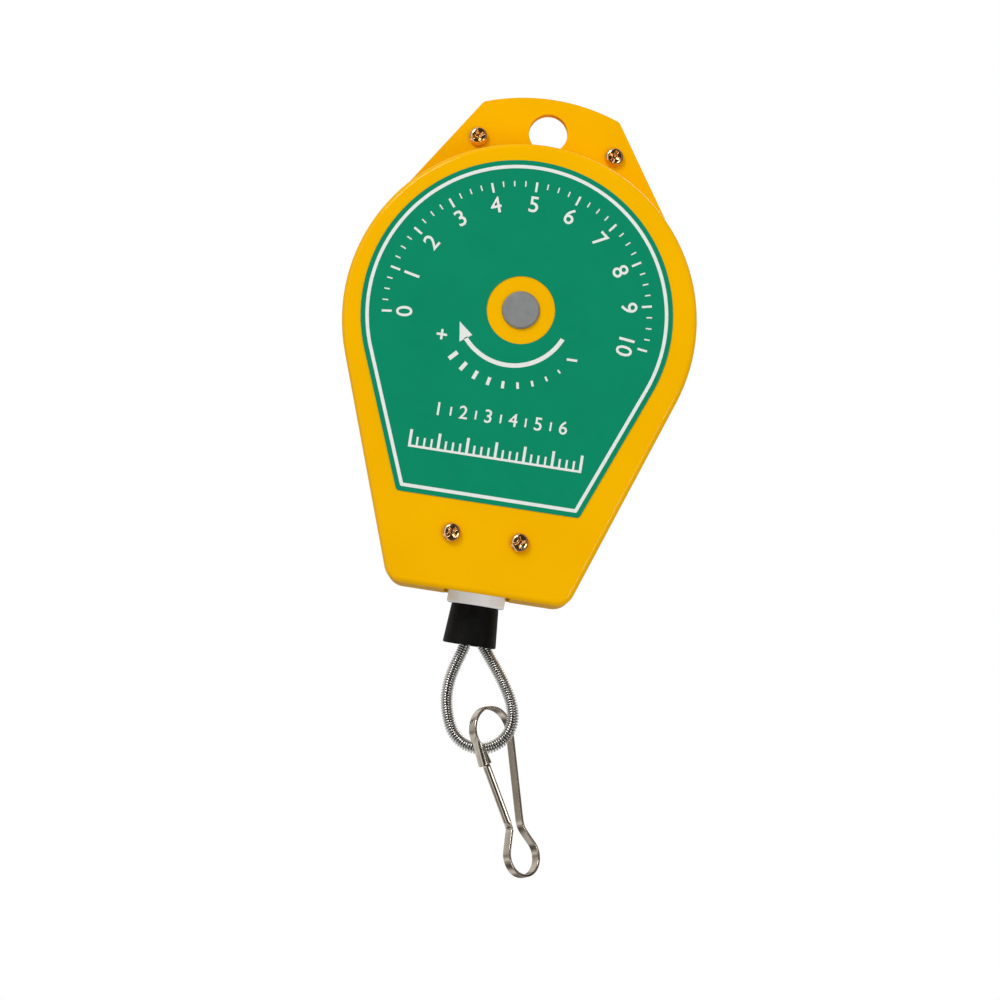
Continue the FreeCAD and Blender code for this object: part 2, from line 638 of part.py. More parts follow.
def rope_piece(points, r):
    """Rope along straight stretches, with ball corners."""
    body = None
    for p, q in zip(points, points[1:]):
        seg = Part.makeCylinder(r, (q - p).Length, p, q - p)
        body = seg if body is None else body.fuse(seg)
    for p in points[1:-1]:
        body = body.fuse(Part.makeSphere(r, p))
    return body.removeSplitter()


def rope_run():
    """Rope from the drum down into the guide."""
    p = tangent_point()
    p.y = exit_y()
    throat = V(0, 0, SHAFT_Z - THROAT_DROP)
    way = throat - p
    way.normalize()
    return rope_piece([p + way * 0.1, throat, V(0, 0, SHAFT_Z - TAIL_TOP)],
                      ROPE_R - ROPE_SLACK)


def rope_anchor():
    """Ball pressed on the rope's end, held in the drum wall."""
    a = math.radians(ANCHOR_ANGLE)
    out = V(math.cos(a), 0, math.sin(a))
    p = S0 + out * (CUP_R + ANCHOR_IN)
    p.y = ROPE_REAR_Y
    return Part.makeCylinder(ANCHOR_R, ANCHOR_LEN, p, out)


# ------------------------------------------------------------ guide and cable end
COLLAR_Z = FOOT_Z - COLLAR_OUT


def cable_guide():
    """Nylon guide: collar, flange inside the case, funnel for the rope."""
    flange_z = FOOT_Z + SHEET
    top_z = SHAFT_Z - FOOT_SCREW_DROP - SPACER_R - 0.1
    body = post(COLLAR_R, COLLAR_Z, flange_z)
    rim = [e for e in body.Edges if abs(e.BoundBox.ZMax - COLLAR_Z) < 1e-6]
    body = body.makeFillet(0.8, rim)
    body = body.fuse(post(GUIDE_FLANGE_R, flange_z + 0.05, flange_z + GUIDE_FLANGE_T))
    body = body.fuse(post(GUIDE_TOP_R, flange_z, top_z)).removeSplitter()
    throat_z = SHAFT_Z - THROAT_DROP
    funnel = Part.makeCone(GUIDE_BORE, FUNNEL_R, top_z - throat_z, V(0, 0, throat_z))
    low = Part.makeCone(GUIDE_BORE + 1.2, GUIDE_BORE, 2.5, V(0, 0, COLLAR_Z))
    body = body.cut(funnel).cut(post(GUIDE_BORE, COLLAR_Z - 1, throat_z + 1)).cut(low)
    return body


BUMPER_FOOT = COLLAR_Z - BUMPER_H
FERRULE_FOOT = BUMPER_FOOT + BUMPER_POCKET_H
FERRULE_TOP = FERRULE_FOOT + FERRULE_H


def rubber_bumper():
    body = Part.makeCone(BUMPER_FOOT_R, BUMPER_TOP_R, BUMPER_H, V(0, 0, BUMPER_FOOT))
    body = body.makeFillet(0.6, [e for e in body.Edges if len(e.Vertexes) == 1])
    body = body.cut(post(BUMPER_POCKET_R, BUMPER_FOOT - 1, FERRULE_FOOT))
    body = body.cut(post(FERRULE_R, FERRULE_FOOT - 1, FERRULE_TOP))
    return body.cut(post(ROPE_R + 0.1, FERRULE_TOP - 1, COLLAR_Z + 1))


def ferrule():
    body = post(FERRULE_R, FERRULE_FOOT, FERRULE_TOP)
    body = body.cut(post(ROPE_R, FERRULE_TOP - TAIL_GRIP, FERRULE_TOP + 1))
    return body.cut(rope_loop())


def rope_tail():
    """Rope that comes out of the guide as the cable is pulled."""
    return post(ROPE_R, FERRULE_TOP - TAIL_GRIP, SHAFT_Z - TAIL_TOP)


def route_wire(points):
    """Straight runs joined by tangent arcs, each as large as its two runs allow."""
    edges = []
    start = points[0]
    for before, corner, after in zip(points, points[1:], points[2:]):
        into = corner - before
        out = after - corner
        reach = ARC_SHARE * min(into.Length, out.Length)
        turn = into.getAngle(out)
        into.normalize()
        out.normalize()
        first = corner - into * reach
        last = corner + out * reach
        bulge = (out - into).normalize()
        radius = reach / math.tan(turn / 2)
        middle = corner + bulge * (radius / math.cos(turn / 2) - radius)
        edges.append(Part.makeLine(start, first))
        edges.append(Part.Arc(first, middle, last).toShape())
        print("loop arc radius", round(radius, 1))
        start = last
    edges.append(Part.makeLine(start, points[-1]))
    return Part.Wire(edges)


def loop_tube(r, first, last):
    """Tube of radius r along the loop's route, from one of its points to another."""
    points = [V(x, 0, BUMPER_FOOT + z) for x, z in LOOP_ROUTE[first:last]]
    ring = Part.makeCircle(r, points[0], points[1] - points[0])
    return route_wire(points).makePipeShell([Part.Wire([ring])], True, True)


def rope_loop():
    return loop_tube(ROPE_R, 0, None)


def loop_sheath():
    """Coiled wire round the loop, as a plain tube; its ends are in the bumper's pocket."""
    return loop_tube(SHEATH_R, 1, -2).cut(loop_tube(SHEATH_BORE, 1, -2))


# ------------------------------------------------------------ snap hook
def hook_place(shape):
    """Moves a shape drawn flat, centre of the hook's top at the origin, into its place."""
    shape.rotate(V(0, 0, 0), Z, HOOK_TURN)
    shape.rotate(V(0, 0, 0), Y, -HOOK_LEAN)
    shape.translate(V(HOOK_X, HOOK_Y, BUMPER_FOOT - HOOK_DROP))
    return shape


def strip(curves, half, t):
    """Strip of thickness t and half width along a flat chain of curves."""
    path = Part.Wire(curves)
    start = curves[0].Vertexes[0].Point
    way = curves[0].Vertexes[1].Point - start
    side = way.cross(Y)
    side.normalize()
    corners = [start + side * (s * t / 2) + Y * (w * half)
               for s, w in ((-1, -1), (1, -1), (1, 1), (-1, 1))]
    ring = Part.makePolygon(corners + [corners[0]])
    return path.makePipeShell([ring], True, True, 2)


def touch(centre, r, p, side):
    """Point where a line from p touches the circle, on the given side."""
    d = p - centre
    a = math.atan2(d.z, d.x) + side * math.acos(r / d.Length)
    return centre + V(r * math.cos(a), 0, r * math.sin(a))


EYE_DROP = HOOK_LEN - HOOK_TOP_R - HOOK_EYE_R - HOOK_T
NECK_DROP = HOOK_LEN - HOOK_TOP_R - HOOK_T / 2 - NECK_UP


def nose_ends():
    """End of the nose and its other end at the side of the round top."""
    return V(-HOOK_TOP_R + NOSE_IN, 0, -NOSE_DROP), V(-HOOK_TOP_R, 0, 0)


def snap_hook():
    """Bent strip: nose, round top, back leg, neck and lower eye."""
    top = V(0, 0, 0)
    eye = V(0, 0, -EYE_DROP)
    neck = V(NECK_HALF, 0, -NECK_DROP)
    foot = V(-NECK_HALF, 0, -NECK_DROP)
    nose_end, left = nose_ends()
    left = touch(top, HOOK_TOP_R, nose_end, -1)
    right = touch(top, HOOK_TOP_R, neck, 1)
    eye_in = touch(eye, HOOK_EYE_R, neck, -1)
    eye_out = touch(eye, HOOK_EYE_R, foot, 1)
    curves = [Part.makeLine(nose_end, left),
              Part.Arc(left, V(0, 0, HOOK_TOP_R), right).toShape(),
              Part.makeLine(right, neck), Part.makeLine(neck, eye_in),
              Part.Arc(eye_in, eye - V(0, 0, HOOK_EYE_R), eye_out).toShape(),
              Part.makeLine(eye_out, foot)]
    body = strip(curves, STRIP_W / 2, HOOK_T)
    return hook_place(body.fuse(nose_channel()).removeSplitter())


def nose_channel():
    """Channel that the strip is rolled into at the nose, wide enough for the tongue."""
    nose_end, root = nose_ends()
    way = root - nose_end
    half = NOSE_W / 2
    back = -HOOK_T / 2
    ring = [V(back, -half, 0), V(back, half, 0), V(back + NOSE_DEPTH, half, 0),
            V(back + NOSE_DEPTH, half - NOSE_WALL, 0), V(HOOK_T / 2, half - NOSE_WALL, 0),
            V(HOOK_T / 2, NOSE_WALL - half, 0), V(back + NOSE_DEPTH, NOSE_WALL - half, 0),
            V(back + NOSE_DEPTH, -half, 0)]
    face = Part.Face(Part.makePolygon([p + nose_end for p in ring + [ring[0]]]))
    channel = face.extrude(way)
    rims = []
    for e in channel.Edges:
        p, q = e.Vertexes[0].Point, e.Vertexes[-1].Point
        along = abs((q - p).Length - way.Length) < 1e-6
        if along and abs(p.x - root.x - back) < NOSE_IN + 0.01 and abs(abs(p.y) - half) < 1e-6:
            rims.append(e)
    channel = channel.makeFillet(NOSE_ROUND, rims)
    slope = Part.makePolygon([V(HOOK_T / 2 - HOOK_TOP_R, -half - 1, 0),
                              V(NOSE_DEPTH - HOOK_TOP_R + 1, -half - 1, 1),
                              V(NOSE_DEPTH - HOOK_TOP_R + 1, -half - 1, -NOSE_DROP / 2),
                              V(HOOK_T / 2 - HOOK_TOP_R, -half - 1, 0)])
    return channel.cut(Part.Face(slope).extrude(V(0, NOSE_W + 2, 0)))


def hook_gate():
    """Half-round tongue from the neck up into the nose channel."""
    nose_end, root = nose_ends()
    flat = HOOK_T / 2 + GATE_FREE + GATE_R
    foot = V(-NECK_HALF + HOOK_T / 2, 0, -NECK_DROP + GATE_FREE + HOOK_T / 2)
    tip = V(root.x + flat, 0, -GATE_TIP)
    way = tip - foot
    bar = Part.makeCylinder(GATE_R, way.Length, foot, way)
    keep = Part.makeBox(GATE_R * 2, GATE_R * 4, way.Length + 2, V(-GATE_R * 2, -GATE_R * 2, -1))
    keep.rotate(V(0, 0, 0), Y, math.degrees(math.atan2(way.x, way.z)))
    keep.translate(foot)
    return hook_place(bar.common(keep))


# ------------------------------------------------------------ ratchet and pawl
PEG_ANGLE = 150.0
TAIL_HALF = 3.0            # half width of the pawl's tail
LUG_LEN = 2.0              # lug behind the pawl
PIN_HEAD = 1.2             # head of the pawl pin beyond its shank
PIN_RIVET = 2.0            # riveted end beyond its shank


def ratchet_wheel():
    """Saw-toothed wheel; steep flanks stop the shaft running back."""
    pts = []
    step = 360.0 / RATCHET_TEETH
    for i in range(RATCHET_TEETH):
        a0 = math.radians(90 + step * i)
        a1 = math.radians(90 + step * (i + 1))
        pts.append((RATCHET_ROOT * math.cos(a0), SHAFT_Z + RATCHET_ROOT * math.sin(a0)))
        pts.append((RATCHET_R * math.cos(a1), SHAFT_Z + RATCHET_R * math.sin(a1)))
    wheel = slab(pts, SEAT_Y, SEAT_END)
    seat = rod(JOURNAL_R, SEAT_Y - 1, SEAT_END + 1)
    for side in (-1, 1):
        seat = seat.cut(beyond_flat(side, SEAT_Y - 2, SEAT_END + 2))
    return wheel.cut(seat)


def pawl():
    """Arm from its pivot to the tooth, with hub and release peg."""
    y0 = SEAT_Y + 0.15
    px, pz = PAWL_X, SHAFT_Z + PAWL_Z
    tip_low = (-PAWL_GAP, SHAFT_Z + RATCHET_ROOT + PAWL_GAP)
    tip_high = (-PAWL_GAP, SHAFT_Z + RATCHET_R + PAWL_OVER)
    heel = (-RATCHET_R / 3, SHAFT_Z + RATCHET_R - PAWL_OVER)
    arm = slab([tip_low, tip_high, (px, pz + PAWL_HUB_R), (px, pz),
                (px + PAWL_PIN_R, pz - PAWL_HUB_R / 2), heel], y0, y0 + PAWL_T)
    body = arm.fuse(rod(PAWL_HUB_R, y0, y0 + PAWL_T, px, pz))
    a = math.radians(PEG_ANGLE)
    tx, tz = px + PEG_OUT * math.cos(a), pz + PEG_OUT * math.sin(a)
    n = (-math.sin(a) * TAIL_HALF, math.cos(a) * TAIL_HALF)
    tail = slab([(px - n[0], pz - n[1]), (px + n[0], pz + n[1]), (tx + n[0], tz + n[1]),
                 (tx - n[0], tz - n[1])], y0, y0 + PAWL_T)
    body = body.fuse([tail, rod(TAIL_HALF, y0, y0 + PAWL_T, tx, tz)])
    body = body.fuse(rod(PEG_R, y0, HALF + PEG_REACH, tx, tz))
    lug_z = pz + COIL_R + WIRE_R + LUG_R + 0.05
    body = body.fuse(rod(LUG_R, y0, y0 + PAWL_T + LUG_LEN, px - LUG_OUT, lug_z))
    return body.cut(rod(PAWL_PIN_R + RUN, y0 - 1, INNER, px, pz)).removeSplitter()


def pawl_pin():
    """Shouldered pin riveted into the rear cover."""
    px, pz = PAWL_X, SHAFT_Z + PAWL_Z
    head_y = SEAT_Y - 0.1
    body = rod(PAWL_PIN_R, head_y - 0.5, HALF, px, pz)
    body = body.fuse(rod(PAWL_PIN_R + PIN_HEAD, head_y - 0.85, head_y, px, pz))
    return body.fuse(rod(PAWL_PIN_R + PIN_RIVET, HALF, HALF + 1.2, px, pz)).removeSplitter()


LUG_R = 1.0
LUG_OUT = 7.0
COIL_R = PAWL_PIN_R + WIRE_R + 0.35
LEG_OUT = 6.0


def pawl_spring():
    """Small torsion spring round the pivot, behind the pawl; its legs are drawn a little thinner."""
    px, pz = PAWL_X, SHAFT_Z + PAWL_Z
    pitch = WIRE_R * 1.9
    y1 = INNER - 0.1 - WIRE_R
    y0 = y1 - pitch * (PAWL_COILS - 1)
    coils = [Part.makeTorus(COIL_R, WIRE_R, V(px, y0 + pitch * i, pz), Y)
             for i in range(PAWL_COILS)]
    leg_r = WIRE_R * 0.9
    top = pz + COIL_R - WIRE_R * 0.04
    back = WIRE_R * 0.75
    arm = Part.makeCylinder(leg_r, LUG_OUT + 2 + back, V(px + back, y0, top), V(-1, 0, 0))
    leg = Part.makeCylinder(leg_r, LEG_OUT + back, V(px - back, y1, top), V(1, 0, 0))
    tip = rod(leg_r, y1, INNER + SHEET * 0.8, px + LEG_OUT, top)
    corner = Part.makeSphere(WIRE_R * 1.1, V(px + LEG_OUT, y1, top))
    return coils[0].fuse(coils[1:] + [arm, leg, tip, corner]).removeSplitter()


PARTS = [
    ("front_cover", front_cover), ("rear_cover", rear_cover), ("face_label", face_label),
    ("tab_spacers", tab_spacers), ("foot_spacers", foot_spacers), ("top_screws", top_screws),
    ("foot_screws", foot_screws), ("case_nuts", case_nuts), ("cable_guide", cable_guide),
    ("rear_bush", rear_bush), ("thrust_washer", thrust_washer), ("pawl_pin", pawl_pin),
    ("pawl_spring", pawl_spring), ("rope_run", rope_run), ("shaft", shaft),
    ("ratchet_wheel", ratchet_wheel), ("retaining_rings", retaining_rings), ("pawl", pawl),
    ("drum", drum), ("drum_cover", drum_cover), ("drum_screws", drum_screws),
    ("drum_bushes", drum_bushes), ("mainspring", mainspring), ("wound_rope", wound_rope),
    ("rope_anchor", rope_anchor), ("rope_tail", rope_tail), ("rubber_bumper", rubber_bumper),
    ("ferrule", ferrule), ("rope_loop", rope_loop), ("loop_sheath", loop_sheath),
    ("snap_hook", snap_hook), ("hook_gate", hook_gate),
]

os.makedirs("parts", exist_ok=True)
for name, make in PARTS:
    shape = make()
    print(name, shape.ShapeType, len(shape.Solids), round(shape.Volume), shape.isValid())
    shape.exportStep("parts/" + name + ".step")
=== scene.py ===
import json
import math

import bpy
from mathutils import Matrix, Vector


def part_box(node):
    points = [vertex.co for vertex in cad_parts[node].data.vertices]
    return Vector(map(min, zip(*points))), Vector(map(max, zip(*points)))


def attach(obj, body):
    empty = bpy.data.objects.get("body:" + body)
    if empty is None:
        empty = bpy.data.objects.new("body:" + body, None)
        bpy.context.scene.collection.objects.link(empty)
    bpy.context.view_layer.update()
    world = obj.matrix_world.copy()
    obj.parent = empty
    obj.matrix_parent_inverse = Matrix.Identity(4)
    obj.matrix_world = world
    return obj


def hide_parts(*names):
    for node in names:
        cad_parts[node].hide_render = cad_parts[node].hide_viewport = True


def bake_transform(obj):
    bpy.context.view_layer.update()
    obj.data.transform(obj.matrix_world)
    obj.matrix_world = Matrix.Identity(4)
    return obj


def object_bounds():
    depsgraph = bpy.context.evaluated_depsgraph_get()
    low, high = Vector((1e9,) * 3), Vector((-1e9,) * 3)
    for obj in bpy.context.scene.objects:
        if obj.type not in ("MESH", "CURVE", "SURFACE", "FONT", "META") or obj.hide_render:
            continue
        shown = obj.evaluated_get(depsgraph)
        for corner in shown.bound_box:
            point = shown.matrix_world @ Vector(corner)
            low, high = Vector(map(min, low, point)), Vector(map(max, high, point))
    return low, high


# Looks of the spring tool balancer. Metres, in the CAD frame: +Z up, front faces -Y.
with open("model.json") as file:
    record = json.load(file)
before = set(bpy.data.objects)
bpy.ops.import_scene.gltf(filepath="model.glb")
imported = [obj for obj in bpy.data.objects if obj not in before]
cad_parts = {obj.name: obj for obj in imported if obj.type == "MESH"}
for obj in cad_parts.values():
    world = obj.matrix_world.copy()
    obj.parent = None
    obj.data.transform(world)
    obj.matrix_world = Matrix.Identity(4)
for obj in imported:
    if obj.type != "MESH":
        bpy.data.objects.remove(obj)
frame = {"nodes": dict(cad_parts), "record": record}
cad_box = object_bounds()
nodes = frame["nodes"]
MM = 0.001


def middle(node):
    """Centre of a CAD node's box."""
    low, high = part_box(node)
    return (low + high) / 2


# ------------------------------------------------------------ camera
# about a metre in front of the case, rolled as in the photograph
CAMERA_AT = Vector((0.0013, -0.9866, -0.1963))
AIM_AT = Vector((0.0029, 0.0, -0.1293))
ROLL = math.radians(8.8)
LENS_MM = 102.5
SENSOR_MM = 36.0
CLIP_NEAR = 0.05
CLIP_FAR = 50.0


def make_camera():
    data = bpy.data.cameras.new("camera")
    data.lens = LENS_MM
    data.sensor_width = SENSOR_MM
    data.clip_start = CLIP_NEAR
    data.clip_end = CLIP_FAR
    cam = bpy.data.objects.new("camera", data)
    bpy.context.scene.collection.objects.link(cam)
    turn = (AIM_AT - CAMERA_AT).to_track_quat("-Z", "Y").to_matrix()
    cam.matrix_world = (Matrix.Translation(CAMERA_AT) @ turn.to_4x4()
                        @ Matrix.Rotation(ROLL, 4, "Z"))
    bpy.context.scene.camera = cam


make_camera()


# ------------------------------------------------------------ node trees
class Tree:
    """A node tree with short ways to add nodes. A value is a socket to link or a plain value."""

    def __init__(self, tree):
        self.tree = tree

    def node(self, kind, **settings):
        made = self.tree.nodes.new(kind)
        for key, value in settings.items():
            setattr(made, key, value)
        return made

    def find(self, name):
        return self.tree.nodes[name]

    def link(self, a, b):
        self.tree.links.new(a, b)

    def feed(self, socket, value):
        if isinstance(value, bpy.types.NodeSocket):
            self.link(value, socket)
        else:
            socket.default_value = value

    def span(self, source, low, high, out_low, out_high):
        """Maps low to high of source onto out_low to out_high."""
        node = self.node("ShaderNodeMapRange", clamp=True)
        for key, value in (("Value", source), ("From Min", low), ("From Max", high),
                           ("To Min", out_low), ("To Max", out_high)):
            self.feed(node.inputs[key], value)
        return node.outputs["Result"]

    def maths(self, operation, a, b):
        node = self.node("ShaderNodeMath", operation=operation)
        self.feed(node.inputs[0], a)
        self.feed(node.inputs[1], b)
        return node.outputs["Value"]

    def mixed(self, share, first, second):
        """Colour from first to second by share."""
        node = self.node("ShaderNodeMix", data_type="RGBA")
        for key, value in (("Factor", share), ("A", first), ("B", second)):
            self.feed(node.inputs[key], value)
        return node.outputs["Result"]

    def mixed_shader(self, share, first, second):
        node = self.node("ShaderNodeMixShader")
        for socket, value in zip(node.inputs, (share, first, second)):
            self.feed(socket, value)
        return node.outputs["Shader"]


# ------------------------------------------------------------ materials
def linear(rgb):
    """sRGB 0-255 to the linear colour that the shader takes."""
    out = []
    for c in rgb:
        c = c / 255.0
        out.append(c / 12.92 if c <= 0.04045 else ((c + 0.055) / 1.055) ** 2.4)
    return out + [1.0]


class Paint(Tree):
    """A Principled material with helpers for its procedural detail."""

    def __init__(self, name, rgb, rough, metal=0.0):
        self.mat = bpy.data.materials.new(name)
        self.mat.use_nodes = True
        super().__init__(self.mat.node_tree)
        self.shader = self.find("Principled BSDF")
        self.colour = linear(rgb)
        self.put({"Base Color": self.colour, "Roughness": rough, "Metallic": metal})
        self.place = self.node("ShaderNodeTexCoord").outputs["Object"]
        self.normal = None

    def put(self, values):
        """Sets inputs of the shader by name."""
        for key, value in values.items():
            self.shader.inputs[key].default_value = value

    def stretched(self, scale):
        """Object coordinates, scaled per axis."""
        mapping = self.node("ShaderNodeMapping")
        mapping.inputs["Scale"].default_value = scale
        self.link(self.place, mapping.inputs["Vector"])
        return mapping.outputs["Vector"]

    def noise(self, size, detail=3.0, rough=0.55, scale=(1, 1, 1)):
        """Noise whose features measure about size metres."""
        tex = self.node("ShaderNodeTexNoise")
        tex.inputs["Scale"].default_value = 1.0 / size
        tex.inputs["Detail"].default_value = detail
        tex.inputs["Roughness"].default_value = rough
        self.link(self.stretched(scale), tex.inputs["Vector"])
        return tex.outputs["Fac"]

    def tint(self, source, rgb, share):
        """Mixes another colour in where source is high."""
        base = self.shader.inputs["Base Color"]
        old = base.links[0].from_socket if base.is_linked else self.colour
        amount = self.span(source, 0.4, 0.7, 0.0, share)
        self.link(self.mixed(amount, old, linear(rgb)), base)

    def vary_rough(self, source, low, high):
        self.link(self.span(source, 0.3, 0.7, low, high), self.shader.inputs["Roughness"])

    def bump(self, source, depth, strength=1.0):
        """Relief of depth metres; a second one goes on top of the first."""
        node = self.node("ShaderNodeBump")
        node.inputs["Distance"].default_value = depth
        node.inputs["Strength"].default_value = strength
        self.link(source, node.inputs["Height"])
        if self.normal:
            self.link(self.normal, node.inputs["Normal"])
        self.normal = node.outputs["Normal"]
        self.link(self.normal, self.shader.inputs["Normal"])


def yellow_paint():
    p = Paint("yellow_paint", (252, 186, 0), rough=0.36)
    p.put({"Specular IOR Level": 0.0, "Coat Weight": 0.4, "Coat Roughness": 0.06, "Coat IOR": 1.4})
    p.tint(p.noise(0.03, detail=2.0), (246, 178, 0), share=0.5)
    p.vary_rough(p.noise(0.004, detail=4.0), low=0.31, high=0.41)
    p.bump(p.noise(0.0011, detail=2.0, rough=0.4), depth=0.00004, strength=0.35)
    return p.mat


def label_film():
    p = Paint("label_green", (0, 140, 102), rough=0.42)
    p.put({"Specular IOR Level": 0.1})
    p.tint(p.noise(0.02, detail=2.0), (0, 134, 97), share=0.5)
    p.vary_rough(p.noise(0.003, detail=3.0), low=0.34, high=0.44)
    p.bump(p.noise(0.0007, detail=2.0), depth=0.00002, strength=0.25)
    return p.mat


def print_white():
    p = Paint("print_white", (238, 240, 236), rough=0.45)
    p.tint(p.noise(0.002, detail=3.0), (224, 229, 222), share=0.5)
    p.bump(p.noise(0.0004, detail=2.0), depth=0.00001, strength=0.3)
    return p.mat


def zinc_yellow():
    p = Paint("zinc_yellow", (246, 204, 148), rough=0.12, metal=1.0)
    p.tint(p.noise(0.0030, detail=2.0), (236, 180, 96), share=0.5)
    p.tint(p.noise(0.0040, detail=2.0, scale=(1, 1, 1.7)), (220, 178, 150), share=0.4)
    p.vary_rough(p.noise(0.0009, detail=4.0), low=0.08, high=0.17)
    p.bump(p.noise(0.0005, detail=3.0), depth=0.00001, strength=0.15)
    return p.mat


def zinc():
    p = Paint("zinc", (186, 189, 194), rough=0.32, metal=1.0)
    p.tint(p.noise(0.004, detail=3.0), (160, 166, 178), share=0.5)
    p.vary_rough(p.noise(0.001, detail=4.0), low=0.24, high=0.42)
    p.bump(p.noise(0.0004, detail=3.0), depth=0.00001, strength=0.3)
    return p.mat


def machined_steel():
    p = Paint("machined_steel", (158, 160, 160), rough=0.5, metal=0.55)
    p.tint(p.noise(0.003, detail=4.0), (146, 148, 149), share=0.6)
    p.vary_rough(p.noise(0.0008, detail=4.0), low=0.44, high=0.62)
    p.bump(p.noise(0.00025, detail=3.0), depth=0.00002, strength=0.5)
    return p.mat


def spring_steel():
    p = Paint("spring_steel", (84, 88, 98), rough=0.3, metal=1.0)
    p.tint(p.noise(0.004, detail=3.0), (70, 66, 80), share=0.6)
    p.vary_rough(p.noise(0.001, detail=3.0, scale=(1, 0.2, 1)), low=0.22, high=0.4)
    p.bump(p.noise(0.0005, detail=2.0, scale=(1, 0.1, 1)), depth=0.00001, strength=0.3)
    return p.mat


def bronze():
    p = Paint("bronze", (176, 134, 82), rough=0.42, metal=1.0)
    p.tint(p.noise(0.002, detail=4.0), (140, 102, 60), share=0.6)
    p.bump(p.noise(0.0003, detail=4.0), depth=0.00003, strength=0.5)
    return p.mat


def cast_aluminium():
    p = Paint("cast_aluminium", (190, 192, 194), rough=0.5, metal=1.0)
    p.tint(p.noise(0.006, detail=4.0), (160, 162, 166), share=0.6)
    p.vary_rough(p.noise(0.002, detail=4.0), low=0.42, high=0.62)
    p.bump(p.noise(0.0008, detail=4.0), depth=0.00006, strength=0.5)
    return p.mat


def nylon():
    p = Paint("nylon", (252, 252, 250), rough=0.42)
    p.put({"Subsurface Weight": 0.15, "Subsurface Scale": 0.001})
    p.tint(p.noise(0.006, detail=3.0), (248, 248, 244), share=0.6)
    p.vary_rough(p.noise(0.001, detail=3.0), low=0.36, high=0.5)
    p.bump(p.noise(0.0006, detail=3.0), depth=0.00002, strength=0.4)
    return p.mat


def rubber():
    p = Paint("rubber", (6, 6, 6), rough=0.5)
    p.put({"Specular IOR Level": 0.15})
    p.tint(p.noise(0.003, detail=4.0), (12, 12, 12), share=0.6)
    p.vary_rough(p.noise(0.001, detail=4.0), low=0.5, high=0.72)
    p.bump(p.noise(0.0004, detail=4.0), depth=0.00004, strength=0.6)
    return p.mat


def wire_rope():
    # Dark grey, darker than bare galvanised wire: part of this grey is painted shade that stands in
    # for the dark gaps between the sheath's turns.
    p = Paint("wire_rope", (92, 93, 95), rough=0.42, metal=1.0)
    p.tint(p.noise(0.001, detail=3.0), (62, 62, 64), share=0.6)
    p.bump(p.noise(0.0003, detail=2.0), depth=0.00002, strength=0.4)
    return p.mat


def sheath_wire():
    p = Paint("sheath_wire", (222, 222, 220), rough=0.1, metal=1.0)
    p.tint(p.noise(0.003, detail=3.0), (204, 203, 200), share=0.6)
    p.vary_rough(p.noise(0.0008, detail=3.0), low=0.08, high=0.18)
    p.bump(p.noise(0.0003, detail=2.0), depth=0.00001, strength=0.3)
    return p.mat


def nickel():
    p = Paint("nickel", (200, 192, 180), rough=0.2, metal=1.0)
    p.tint(p.noise(0.006, detail=3.0), (178, 166, 150), share=0.55)
    p.vary_rough(p.noise(0.0015, detail=4.0), low=0.15, high=0.26)
    p.bump(p.noise(0.0022, detail=2.0), depth=0.00003, strength=0.3)
    return p.mat


MAKERS = {
    "yellow_paint": yellow_paint, "label_green": label_film, "zinc_yellow": zinc_yellow,
    "zinc": zinc, "steel": machined_steel, "spring_steel": spring_steel, "bronze": bronze,
    "cast_aluminium": cast_aluminium, "nylon": nylon, "rubber": rubber,
    "wire_rope": wire_rope, "sheath_wire": sheath_wire, "nickel": nickel,
}
FINISH = {name: make() for name, make in MAKERS.items()}
WHITE = print_white()


def dress(obj, mat):
    obj.data.materials.clear()
    obj.data.materials.append(mat)


for part in frame["record"]["subparts"]:
    dress(nodes[part["node"]], FINISH[part["material_slot"]])


# ------------------------------------------------------------ pieces
def mesh_piece(name, verts, faces, body, mat, smooth=True):
    mesh = bpy.data.meshes.new(name)
    mesh.from_pydata([tuple(v) for v in verts], [], faces)
    mesh.update()
    obj = bpy.data.objects.new(name, mesh)
    bpy.context.scene.collection.objects.link(obj)
    for poly in mesh.polygons:
        poly.use_smooth = smooth
    mesh.materials.append(mat)
    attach(obj, body)
    return obj


def band(low, high, count, closed=True):
    """Quads between two rows of count points, whose first points are low and high."""
    last = count if closed else count - 1
    return [(low + i, low + (i + 1) % count, high + (i + 1) % count, high + i)
            for i in range(last)]


# ------------------------------------------------------------ print on the label
SHAFT_X = middle("shaft").x
SHAFT_Z = middle("drum").z
LABEL_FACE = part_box("face_label")[0].y
INK = 0.05 * MM

# the label's outline, as in the CAD: a circle with two sides that run in to a straight foot
LABEL_MID = Vector((SHAFT_X - 1.1 * MM, 0, SHAFT_Z - 1.8 * MM))
LABEL_R = 53.4 * MM
LABEL_ANGLE = math.radians(21.6)
LABEL_FOOT = SHAFT_Z - 67.4 * MM

# the two edges of the border line, as (inset from that outline, corner radius)
BORDER_INNER = (2.82 * MM, 0.35 * MM)
BORDER_OUTER = (1.64 * MM, 0.6 * MM)

# curved arrow and its marks; angles in degrees, anticlockwise from the right
ARROW_MID = Vector((SHAFT_X - 2.2 * MM, 0, SHAFT_Z))
ARROW_R = 19.4 * MM
ARROW_HALF = 0.75 * MM
ARROW_START = -23.5
ARROW_END = -141.0
ARROW_TIP = -158.5
HEAD_HALF = 2.45 * MM
MARKS_R = 26.3 * MM
MARKS_START = -46.0
MARKS_STEP = 11.0
PLUS_AT = -152.0
MINUS_AT = -33.0
SIGN_WIDE = 0.8 * MM

# dial; on it and on the ruler, one mark in LONG_EVERY is long
DIAL_R = 46.2 * MM
DIAL_FIGURES_R = 38.2 * MM
DIAL_START = 187.0
DIAL_STEP = 4.85
DIAL_MARKS = 41
LONG_EVERY = 4

